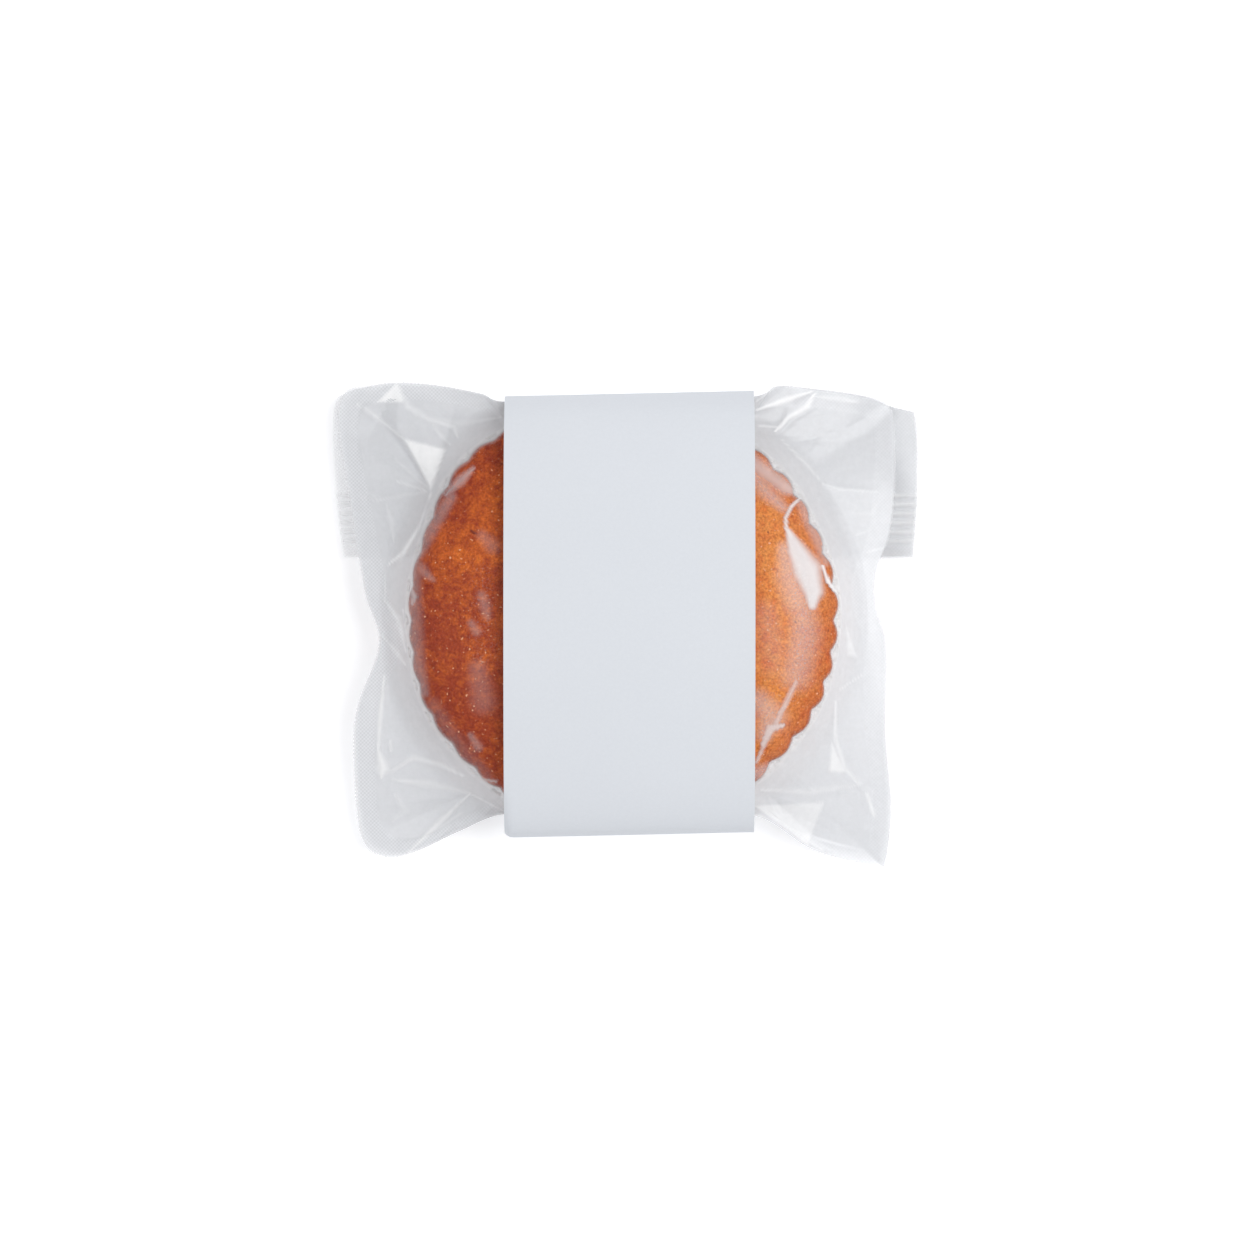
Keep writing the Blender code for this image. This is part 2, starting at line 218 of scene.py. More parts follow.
def vector_node(tree, kind, first, second=None):
    """Vector maths. The second value is a plain triple, or a linked number that scales the first."""
    node = tree.nodes.new("ShaderNodeVectorMath")
    node.operation = kind
    tree.links.new(first, node.inputs[0])
    if isinstance(second, tuple):
        node.inputs[1].default_value = second
    elif second is not None:
        tree.links.new(second, node.inputs["Scale"])
    return node.outputs["Value" if kind == "LENGTH" else "Vector"]


def split_node(tree, vector):
    node = tree.nodes.new("ShaderNodeSeparateXYZ")
    tree.links.new(vector, node.inputs["Vector"])
    return node.outputs


def ramp_node(tree, value, stops):
    node = tree.nodes.new("ShaderNodeValToRGB")
    ramp = node.color_ramp
    while len(ramp.elements) < len(stops):
        ramp.elements.new(0.5)
    for element, (position, colour) in zip(ramp.elements, stops):
        element.position = position
        element.color = colour
    tree.links.new(value, node.inputs["Fac"])
    return node.outputs["Color"]


def mix_colours(tree, share, first, second, kind="MIX"):
    node = tree.nodes.new("ShaderNodeMix")
    node.data_type = "RGBA"
    node.blend_type = kind
    for value, socket in ((share, "Factor_Float"), (first, "A_Color"), (second, "B_Color")):
        target = next(entry for entry in node.inputs if entry.identifier == socket)
        if isinstance(value, (float, tuple)):
            target.default_value = value
        else:
            tree.links.new(value, target)
    return next(entry for entry in node.outputs if entry.identifier == "Result_Color")


def bump_node(tree, height, strength, distance, normal=None):
    node = tree.nodes.new("ShaderNodeBump")
    node.inputs["Strength"].default_value = strength
    node.inputs["Distance"].default_value = distance
    tree.links.new(height, node.inputs["Height"])
    if normal is not None:
        tree.links.new(normal, node.inputs["Normal"])
    return node.outputs["Normal"]


PALE_CRUST = (0.77, 0.270, 0.052, 1.0)
WARM_CRUST = (0.66, 0.142, 0.018, 1.0)
DARK_CRUST = (0.38, 0.054, 0.014, 1.0)
PORE_COLOUR = (0.22, 0.034, 0.012, 1.0)
SPECK_AND_GLINT_COLOUR = (0.86, 0.44, 0.25, 1.0)
WHITE = (1.0, 1.0, 1.0, 1.0)
BLACK = (0.0, 0.0, 0.0, 1.0)


def from_middle(tree, place):
    """Distance from the cake's upright axis, in metres."""
    away = vector_node(tree, "SUBTRACT", place, (CAKE_X * MM, CAKE_Y * MM, 0.0))
    return vector_node(tree, "LENGTH", vector_node(tree, "MULTIPLY", away, (1.0, 1.0, 0.0)))


# Painted light: how much paler the crust is painted per metre toward +X and toward +Y, the sides the lamps
# light, and the most that X may add or take
PAINTED_LIGHT_RIGHT = 9.0
PAINTED_LIGHT_BACK = 1.6
PAINTED_LIGHT_LIMIT = 0.115
# How much the wide blotches and the finer mottle count, and the scales of all the noises
BLOTCHES = 0.34
MOTTLE = 0.34
BLOTCH_SCALE = 62.0
MOTTLE_SCALE = 640.0
GRAIN_SCALE = 2100.0
PORE_SCALE = 620.0
SPECK_SCALE = 1700.0
# The crust is painted darker toward the rim, painted shade of its falling shoulder: from the first share of
# its radius outwards, and fully from the second
RIM_SHADE_FROM = 0.80
RIM_SHADE_FULL = 0.97
RIM_SHADE_TINT = (0.80, 0.66, 0.80, 1.0)
GRAIN_DARK = (0.70, 0.59, 0.53, 1.0)
GRAIN_LIGHT = (1.20, 1.27, 1.35, 1.0)


def crust_finish():
    made, tree, shader = new_material("crust")
    place = tree.nodes.new("ShaderNodeTexCoord").outputs["Object"]
    side = split_node(tree, place)
    # Painted light: the crust is painted paler toward the lit right and back
    lean = math_node(tree, "MULTIPLY", side["X"], PAINTED_LIGHT_RIGHT)
    lean = math_node(tree, "MAXIMUM", math_node(tree, "MINIMUM", lean, PAINTED_LIGHT_LIMIT), -PAINTED_LIGHT_LIMIT)
    lean = math_node(tree, "ADD", lean, math_node(tree, "MULTIPLY", side["Y"], PAINTED_LIGHT_BACK))
    blotches = math_node(tree, "MULTIPLY", noise_node(tree, place, BLOTCH_SCALE, 3.0, 0.5), BLOTCHES)
    mottle = math_node(tree, "MULTIPLY", noise_node(tree, place, MOTTLE_SCALE, 3.0, 0.6), MOTTLE)
    spread = math_node(tree, "ADD", math_node(tree, "ADD", blotches, mottle), (1 - BLOTCHES - MOTTLE) / 2)
    patches = math_node(tree, "ADD", spread, lean)
    grain = noise_node(tree, place, GRAIN_SCALE, 3.0, 0.65)
    pores = noise_node(tree, place, PORE_SCALE, 1.0, 0.3)
    specks = noise_node(tree, place, SPECK_SCALE, 0.0, 0.3)

    tone = ramp_node(tree, patches, [(0.36, DARK_CRUST), (0.49, WARM_CRUST), (0.64, PALE_CRUST)])
    outward = math_node(tree, "DIVIDE", from_middle(tree, place), RIM_RADIUS * MM)
    # Painted shade: darker toward the rim
    rim_shade = ramp_node(tree, outward, [(RIM_SHADE_FROM, WHITE), (RIM_SHADE_FULL, RIM_SHADE_TINT)])
    shaded = mix_colours(tree, 1.0, tone, rim_shade, "MULTIPLY")
    fine = ramp_node(tree, grain, [(0.33, GRAIN_DARK), (0.66, GRAIN_LIGHT)])
    grained = mix_colours(tree, 1.0, shaded, fine, "MULTIPLY")
    pore_mask = ramp_node(tree, pores, [(0.17, WHITE), (0.23, BLACK)])
    pored = mix_colours(tree, pore_mask, grained, PORE_COLOUR)
    # Pale specks, partly specks of the crust and partly painted glints of the film's fine droplets
    speck_and_glint_mask = ramp_node(tree, specks, [(0.76, BLACK), (0.86, WHITE)])
    specked_and_glinted = mix_colours(tree, speck_and_glint_mask, pored, SPECK_AND_GLINT_COLOUR)
    tree.links.new(specked_and_glinted, shader.inputs["Base Color"])

    shader.inputs["Roughness"].default_value = 0.5
    shader.inputs["Specular IOR Level"].default_value = 0.15
    rough = bump_node(tree, grain, 0.35, 0.00008)
    tree.links.new(bump_node(tree, pores, 0.3, 0.00015, rough), shader.inputs["Normal"])
    return made


crust = crust_finish()

# %% [markdown]
# ## The film
# Clear film has no colour of its own. Where it is wetted by the cake's butter it vanishes. Where air lies
# behind it, it turns to a milky haze, and the free skirt, with air between its two layers, is hazier
# still. So each point of the mesh carries its own haze, which becomes the alpha, and how white it is
# painted along creases and bright facets, partly stress whitening and partly painted highlight. Some haze
# is painted light and shade too. Drops of fat and the seals' fine mesh show where a point asks for them.
# One function makes two finishes: a glossy one for the bag and a duller one of darker grey, painted shade,
# for its folded end.


# %% Finish of the film
def attribute_node(tree, name):
    node = tree.nodes.new("ShaderNodeAttribute")
    node.attribute_name = name
    return node.outputs["Fac"]


SEAL_PITCH = 0.70 * MM
SEAL_CONTRAST = 0.09
MOST_HAZE = 0.95
UNEVEN_HAZE = 0.16


def seal_mesh(tree, place):
    """The fine square mesh that the sealing jaws press, as a wave across times a wave along."""
    sides = split_node(tree, place)
    turns = [math_node(tree, "MULTIPLY", sides[axis], math.tau / SEAL_PITCH) for axis in ("X", "Y")]
    across, along = (math_node(tree, "SINE", turn) for turn in turns)
    pressed = math_node(tree, "MULTIPLY", math_node(tree, "MULTIPLY", across, along), SEAL_CONTRAST)
    return math_node(tree, "MULTIPLY", pressed, attribute_node(tree, "seal"))


def film_finish(name, colour, specular, coat):
    made, tree, shader = new_material(name)
    place = tree.nodes.new("ShaderNodeTexCoord").outputs["Object"]
    cloud = noise_node(tree, place, 900.0, 2.0, 0.6)
    uneven = math_node(tree, "ADD", math_node(tree, "MULTIPLY", cloud, UNEVEN_HAZE), 1 - UNEVEN_HAZE / 2)
    haze = math_node(tree, "MULTIPLY", attribute_node(tree, "haze"), uneven)
    haze = math_node(tree, "ADD", haze, seal_mesh(tree, place))
    drops = ramp_node(tree, noise_node(tree, place, 2900.0, 1.0, 0.4), [(0.58, BLACK), (0.78, WHITE)])
    wet = math_node(tree, "MULTIPLY", drops, attribute_node(tree, "drops"))
    shown = math_node(tree, "MAXIMUM", math_node(tree, "ADD", haze, wet), 0.0)
    tree.links.new(math_node(tree, "MINIMUM", shown, MOST_HAZE), shader.inputs["Alpha"])
    # Painted white where creases, facets, veils and rib crests are: partly stress whitening, partly painted
    # highlight
    tone = mix_colours(tree, attribute_node(tree, "whiteness_and_highlight"), colour, WHITE)
    tree.links.new(tone, shader.inputs["Base Color"])
    shader.inputs["Roughness"].default_value = 0.27
    shader.inputs["Specular IOR Level"].default_value = specular
    shader.inputs["Coat Weight"].default_value = coat
    shader.inputs["Coat Roughness"].default_value = 0.12
    return made


clear_film = film_finish("clear film", (0.82, 0.83, 0.852, 1.0), 0.35, 0.20)
# The folded end's film is a darker grey than the bag's: painted shade, mostly for its lit right end
shaded_sealed_film = film_finish("sealed film", (0.74, 0.75, 0.77, 1.0), 0.2, 0.0)

# %% [markdown]
# ## The paper
# The sleeve is plain, uncoated paper, a cool off white, with a very fine fibre grain that only shows in
# raking light. Two noises give it that grain and a faint cloudiness.


# %% Finish of the paper
def paper_finish():
    made, tree, shader = new_material("paper")
    place = tree.nodes.new("ShaderNodeTexCoord").outputs["Object"]
    fibre = noise_node(tree, place, 1800.0, 5.0, 0.7)
    cloud = noise_node(tree, place, 45.0, 2.0)
    tone = ramp_node(tree, fibre, [(0.25, (0.735, 0.760, 0.800, 1.0)), (0.75, (0.765, 0.790, 0.830, 1.0))])
    shade = ramp_node(tree, cloud, [(0.2, (0.985, 0.985, 0.985, 1.0)), (0.8, WHITE)])
    tree.links.new(mix_colours(tree, 1.0, tone, shade, "MULTIPLY"), shader.inputs["Base Color"])
    shader.inputs["Roughness"].default_value = 0.8
    shader.inputs["Specular IOR Level"].default_value = 0.25
    tree.links.new(bump_node(tree, fibre, 0.25, 0.00004), shader.inputs["Normal"])
    return made


paper = paper_finish()

# %% [markdown]
# ## The cake
# A madeleine of this kind is baked in a fluted tin. Turned from its profile it would be a plain cone
# with a low dome, so the profile is spun first, and Geometry Nodes then press the flutes into it and
# raise the crumb. The tree's inputs are the number of flutes, their depth and the crumb's height, so
# one tree could make any fluted cake.


# %% The cake's form
# Each wave is a size, how many times it goes round the cake, and where it starts
FLUTE_DRIFT = [(0.22, 3.0, 0.6), (0.16, 7.0, 2.1)]
RIM_WAVES = [(0.30, 2.0, 0.9), (0.22, 5.0, 2.6), (0.14, 11.0, 0.0)]
RIM_SWELL = 1.8
SWELL_ANGLE = math.radians(130)
SWELL_NARROWNESS = 10.0
PRESSED_FLAT = 0.4
FOOT_SHARE = 0.5
FOOT_ROUNDING = 1.1


def crown_z(radius):
    """Height of the crust at a radius: a low dome that turns down steeply at the rim."""
    share = np.clip(np.asarray(radius, float) / RIM_RADIUS, 0.0, 1.0)
    return RIM_Z + (TOP_Z - RIM_Z) * (1 - share**2) ** (1 / 2.2)


def add_waves(angle, waves):
    return sum(size * np.sin(times * angle + start) for size, times, start in waves)


def flute_rise(angle):
    """How far the flutes stand out at an angle: near 0 in the valleys and near 1 on the crests."""
    turned = FLUTES / 2 * angle + add_waves(angle, FLUTE_DRIFT)
    return np.sqrt(np.sin(turned) ** 2 + VALLEY_ROUNDING)


def flute_depth(angle):
    """The flutes are shallower toward -X, where the film has pressed harder."""
    return FLUTE_DEPTH * (1 - PRESSED_FLAT * smoothstep(0.0, 0.9, -np.cos(angle)))


def rim_wander(angle):
    """The rim isn't a true circle: batter rose more on some sides, and most behind on the left."""
    swell = RIM_SWELL * np.exp(SWELL_NARROWNESS * (np.cos(angle - SWELL_ANGLE) - 1))
    return add_waves(angle, RIM_WAVES) + swell


def cake_profile():
    """Radius, height and share of the flutes from the foot's middle up to the crown's middle."""
    foot = []
    for radius in (0.0, 12.0, 22.0, 28.0):
        foot.append((radius, FOOT_Z, FOOT_SHARE * (radius / FOOT_RADIUS) ** 6))
    side = []
    for share in np.linspace(0, 1, 22):
        round_off = FOOT_ROUNDING * (1 - smoothstep(0, 0.12, share))
        radius = FOOT_RADIUS - round_off + (RIM_RADIUS - FOOT_RADIUS) * share
        side.append((radius, FOOT_Z + (RIM_Z - FOOT_Z) * share, FOOT_SHARE + (1 - FOOT_SHARE) * share))
    crown = []
    for turn in np.linspace(0, math.pi / 2, 60)[1:]:
        radius = RIM_RADIUS * math.cos(turn)
        crown.append((radius, float(crown_z(radius)), float(smoothstep(0.90, 1.0, radius / RIM_RADIUS))))
    return np.array(foot + side + crown)


CAKE_STEPS = FLUTES * 24


def turned_cake():
    profile = cake_profile()
    angles = np.linspace(0, math.tau, CAKE_STEPS, endpoint=False)
    rings = profile[1:-1]
    radius = rings[:, :1] + rim_wander(angles) * rings[:, 2:]
    x = CAKE_X + radius * np.cos(angles)
    y = CAKE_Y + radius * np.sin(angles)
    points = np.stack([x, y, rings[:, 1:2] + 0 * angles], 2).reshape(-1, 3)
    poles = [(CAKE_X, CAKE_Y, profile[0, 1]), (CAKE_X, CAKE_Y, profile[-1, 1])]
    points = np.vstack([points, poles])
    faces = grid_faces(len(rings), CAKE_STEPS, closed_columns=True).tolist()
    faces += cap_faces(len(rings), CAKE_STEPS, len(points) - 2, len(points) - 1)
    share = (rings[:, 2:] * flute_depth(angles) / FLUTE_DEPTH).ravel()
    share = np.concatenate([share, [0.0, 0.0]])
    return points, faces, share


def start_tree(name, inputs):
    """A Geometry Nodes tree with a mesh going in and out, and named number inputs."""
    tree = bpy.data.node_groups.new(name, "GeometryNodeTree")
    tree.interface.new_socket("Geometry", in_out="INPUT", socket_type="NodeSocketGeometry")
    tree.interface.new_socket("Geometry", in_out="OUTPUT", socket_type="NodeSocketGeometry")
    sockets = {}
    for label, value in inputs.items():
        socket = tree.interface.new_socket(label, in_out="INPUT", socket_type="NodeSocketFloat")
        socket.default_value = value
        sockets[label] = socket.identifier
    return tree, tree.nodes.new("NodeGroupInput"), tree.nodes.new("NodeGroupOutput"), sockets


def finish_tree(tree, group_out, geometry, finish):
    realise = tree.nodes.new("GeometryNodeRealizeInstances")
    paint = tree.nodes.new("GeometryNodeSetMaterial")
    paint.inputs["Material"].default_value = finish
    tree.links.new(geometry, realise.inputs["Geometry"])
    tree.links.new(realise.outputs["Geometry"], paint.inputs["Geometry"])
    tree.links.new(paint.outputs["Geometry"], group_out.inputs["Geometry"])


def run_tree(obj, tree, sockets, values):
    """Runs the tree on the object with these values and leaves a plain mesh."""
    modifier = obj.modifiers.new(tree.name, "NODES")
    modifier.node_group = tree
    for label, value in values.items():
        modifier[sockets[label]] = value
    graph = bpy.context.evaluated_depsgraph_get()
    made = bpy.data.meshes.new_from_object(obj.evaluated_get(graph))
    obj.modifiers.remove(modifier)
    old = obj.data
    obj.data = made
    made.name = obj.name
    bpy.data.meshes.remove(old)
    made.shade_smooth()
    print(obj.name, "after its nodes:", len(made.polygons), "faces")


# Scale and weight of each noise that raises the crumb
CRUMB_NOISES = [(260.0, 1.0), (620.0, 0.5)]
CRUMB_HEIGHT = 0.30


def fluting_tree():
    """Presses flutes into a turned shape and raises a fine crumb along its normals."""
    inputs = {"Centre X": 0.0, "Centre Y": 0.0, "Flutes": 40.0, "Flute depth": 1.0, "Crumb": 0.1}
    tree, group_in, group_out, sockets = start_tree("flutes and crumb", inputs)
    position = tree.nodes.new("GeometryNodeInputPosition").outputs["Position"]
    sides = split_node(tree, position)
    given = group_in.outputs
    away_x = math_node(tree, "SUBTRACT", sides["X"], given["Centre X"])
    away_y = math_node(tree, "SUBTRACT", sides["Y"], given["Centre Y"])
    angle = math_node(tree, "ARCTAN2", away_y, away_x)

    def wave(size, times, phase):
        turned = math_node(tree, "ADD", math_node(tree, "MULTIPLY", angle, times), phase)
        return math_node(tree, "MULTIPLY", math_node(tree, "SINE", turned), size)

    drift = math_node(tree, "ADD", *(wave(*term) for term in FLUTE_DRIFT))
    half_turns = math_node(tree, "MULTIPLY", angle, math_node(tree, "MULTIPLY", given["Flutes"], 0.5))
    sine = math_node(tree, "SINE", math_node(tree, "ADD", half_turns, drift))
    squared = math_node(tree, "ADD", math_node(tree, "MULTIPLY", sine, sine), VALLEY_ROUNDING)
    rise = math_node(tree, "SQRT", squared)
    share = tree.nodes.new("GeometryNodeInputNamedAttribute")
    share.data_type = "FLOAT"
    share.inputs["Name"].default_value = "flute_share"
    pressed = math_node(tree, "MULTIPLY", math_node(tree, "SUBTRACT", rise, 1.0), given["Flute depth"])
    inward = math_node(tree, "MULTIPLY", pressed, share.outputs["Attribute"])

    outward = tree.nodes.new("ShaderNodeCombineXYZ")
    tree.links.new(away_x, outward.inputs["X"])
    tree.links.new(away_y, outward.inputs["Y"])
    unit = vector_node(tree, "NORMALIZE", outward.outputs["Vector"])
    flute = tree.nodes.new("GeometryNodeSetPosition")
    tree.links.new(given["Geometry"], flute.inputs["Geometry"])
    tree.links.new(vector_node(tree, "SCALE", unit, inward), flute.inputs["Offset"])

    height = None
    for scale, weight in CRUMB_NOISES:
        grain = tree.nodes.new("ShaderNodeTexNoise")
        grain.inputs["Scale"].default_value = scale
        grain.inputs["Detail"].default_value = 3.0
        tree.links.new(position, grain.inputs["Vector"])
        centred = math_node(tree, "MULTIPLY", math_node(tree, "SUBTRACT", grain.outputs["Fac"], 0.5), weight)
        height = centred if height is None else math_node(tree, "ADD", height, centred)
    normal = tree.nodes.new("GeometryNodeInputNormal").outputs[0]
    raised = vector_node(tree, "SCALE", normal, math_node(tree, "MULTIPLY", height, given["Crumb"]))
    crumb = tree.nodes.new("GeometryNodeSetPosition")
    tree.links.new(flute.outputs["Geometry"], crumb.inputs["Geometry"])
    tree.links.new(raised, crumb.inputs["Offset"])
    finish_tree(tree, group_out, crumb.outputs["Geometry"], crust)
    return tree, sockets


# %% Make the cake
cake_points, cake_faces, flute_share = turned_cake()
cake = make_piece("fluted_cake", cake_points, cake_faces, crust, {"flute_share": flute_share})
flutes, flute_sockets = fluting_tree()
run_tree(
    cake,
    flutes,
    flute_sockets,
    {
        "Centre X": CAKE_X * MM,
        "Centre Y": CAKE_Y * MM,
        "Flutes": float(FLUTES),
        "Flute depth": FLUTE_DEPTH * MM,
        "Crumb": CRUMB_HEIGHT * MM,
    },
)
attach(cake, "root")
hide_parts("cake")

# %% [markdown]
# ## The bag's outline
# The skirt's edge is the one free line in the pack: the seals were flat and straight, and the vacuum
# and the sleeve have drawn them in at the waist and left ears at the corners. So it is a smooth line
# through listed points, each with the height at which that stretch of edge stands.

# %% The skirt's edge: x, y and height in millimetres, clockwise from the left end of the fold
EDGE_LINE = [
    (-52.4, 43.3, 6.0),
    (-47.7, 44.6, 7.5),
    (-42.1, 45.2, 8.5),
    (-34.7, 44.6, 10.0),
    (-26.8, 43.0, 12.5),
    (-21.5, 41.4, 14.0),
    (0.0, 41.8, 14.3),
    (23.0, 42.3, 14.2),
    (28.2, 44.4, 11.5),
    (34.1, 44.1, 10.0),
    (44.4, 42.8, 7.5),
    (49.3, 41.0, 6.0),
    (50.4, 36.3, 6.5),
    (50.3, 25.7, 8.0),
    (49.3, 17.0, 8.5),
    (46.8, 9.6, 9.5),
    (46.9, 3.2, 9.5),
    (48.8, -4.0, 9.0),
    (48.7, -20.0, 8.0),
    (49.8, -33.5, 6.0),
    (48.9, -44.0, 3.5),
    (46.8, -45.0, 3.5),
    (35.1, -41.9, 6.5),
    (24.6, -35.6, 11.0),
    (12.0, -36.2, 11.5),
    (0.0, -36.5, 11.5),
    (-12.0, -36.2, 11.5),
    (-22.6, -35.2, 11.5),
    (-31.0, -38.5, 8.5),
    (-39.3, -42.4, 5.5),
    (-44.9, -43.3, 4.5),
    (-49.2, -39.8, 4.5),
    (-50.5, -28.0, 7.0),
    (-50.1, -16.0, 8.5),
    (-45.8, -3.4, 10.0),
    (-48.6, 6.5, 9.0),
    (-51.4, 23.3, 7.0),
    (-53.6, 37.0, 5.5),
]
STATIONS = 720
edge = smooth_line(EDGE_LINE[::-1], STATIONS, closed=True)
edge_away = edge[:, :2] - (CAKE_X, CAKE_Y)
edge_radius = np.hypot(edge_away[:, 0], edge_away[:, 1])
edge_angle = np.arctan2(edge_away[:, 1], edge_away[:, 0])
print("rim of the cake:", round(RIM_RADIUS, 2), "mm, its middle at", round(CAKE_X, 2), round(CAKE_Y, 2))
print("edge of the skirt:", round(edge_radius.min(), 1), "to", round(edge_radius.max(), 1), "mm away")

# %% [markdown]
# ## Creases
# Film can't stretch, so it creases: sharp folds between nearly flat facets. A crease is a thin ridge, and
# the film is painted white along it, partly for stress whitening and partly as a painted highlight. A fan
# is a set of pleats that spread from one point, as at the root of an ear, given as a slope for each
# direction. A bright facet is a triangle of film painted whiter than the rest, a painted highlight where it
# faces the lamps. The lists are given one by one, so that each stands where the real film folds.


# %% Strokes, fans and facets
def stroke_distance(x, y, points):
    """Distance from a line through points, in units of its half width there. A point is x, y, half width."""
    nearest = np.full_like(x, 99.0)
    for (x0, y0, half0), (x1, y1, half1) in zip(points, points[1:]):
        long = math.hypot(x1 - x0, y1 - y0)
        share = np.clip(((x - x0) * (x1 - x0) + (y - y0) * (y1 - y0)) / long**2, 0.0, 1.0)
        aside = np.hypot(x - x0 - share * (x1 - x0), y - y0 - share * (y1 - y0))
        nearest = np.minimum(nearest, aside / (half0 + (half1 - half0) * share))
    return nearest


def stroke(x, y, points, softness):
    """1 along a stroke and 0 beyond its width, with a soft border."""
    return 1 - smoothstep(1 - softness, 1 + softness, stroke_distance(x, y, points))


def fan(x, y, tip, reach, pleats):
    """Pleats round a tip. Each is a direction in degrees and a slope there, straight in between."""
    away_x, away_y = x - tip[0], y - tip[1]
    distance = np.hypot(away_x, away_y)
    angle = np.degrees(np.arctan2(away_y, away_x))
    first = pleats[0][0]
    angle = first + (angle - first) % 360
    directions = [direction for direction, _ in pleats]
    slopes = [slope for _, slope in pleats]
    slope = np.interp(angle, directions, slopes, left=0.0, right=0.0)
    fade = np.clip(1 - distance / reach, 0.0, 1.0)
    return slope * distance * fade


def facet(x, y, corners, border):
    """1 inside a triangle and 0 outside, with a border this wide. Corners run clockwise."""
    inside = np.full_like(x, 99.0)
    for (x0, y0), (x1, y1) in zip(corners, corners[1:] + corners[:1]):
        long = math.hypot(x1 - x0, y1 - y0)
        inside = np.minimum(inside, ((x - x0) * (y0 - y1) + (y - y0) * (x1 - x0)) / -long)
    return smoothstep(-border, border, inside)


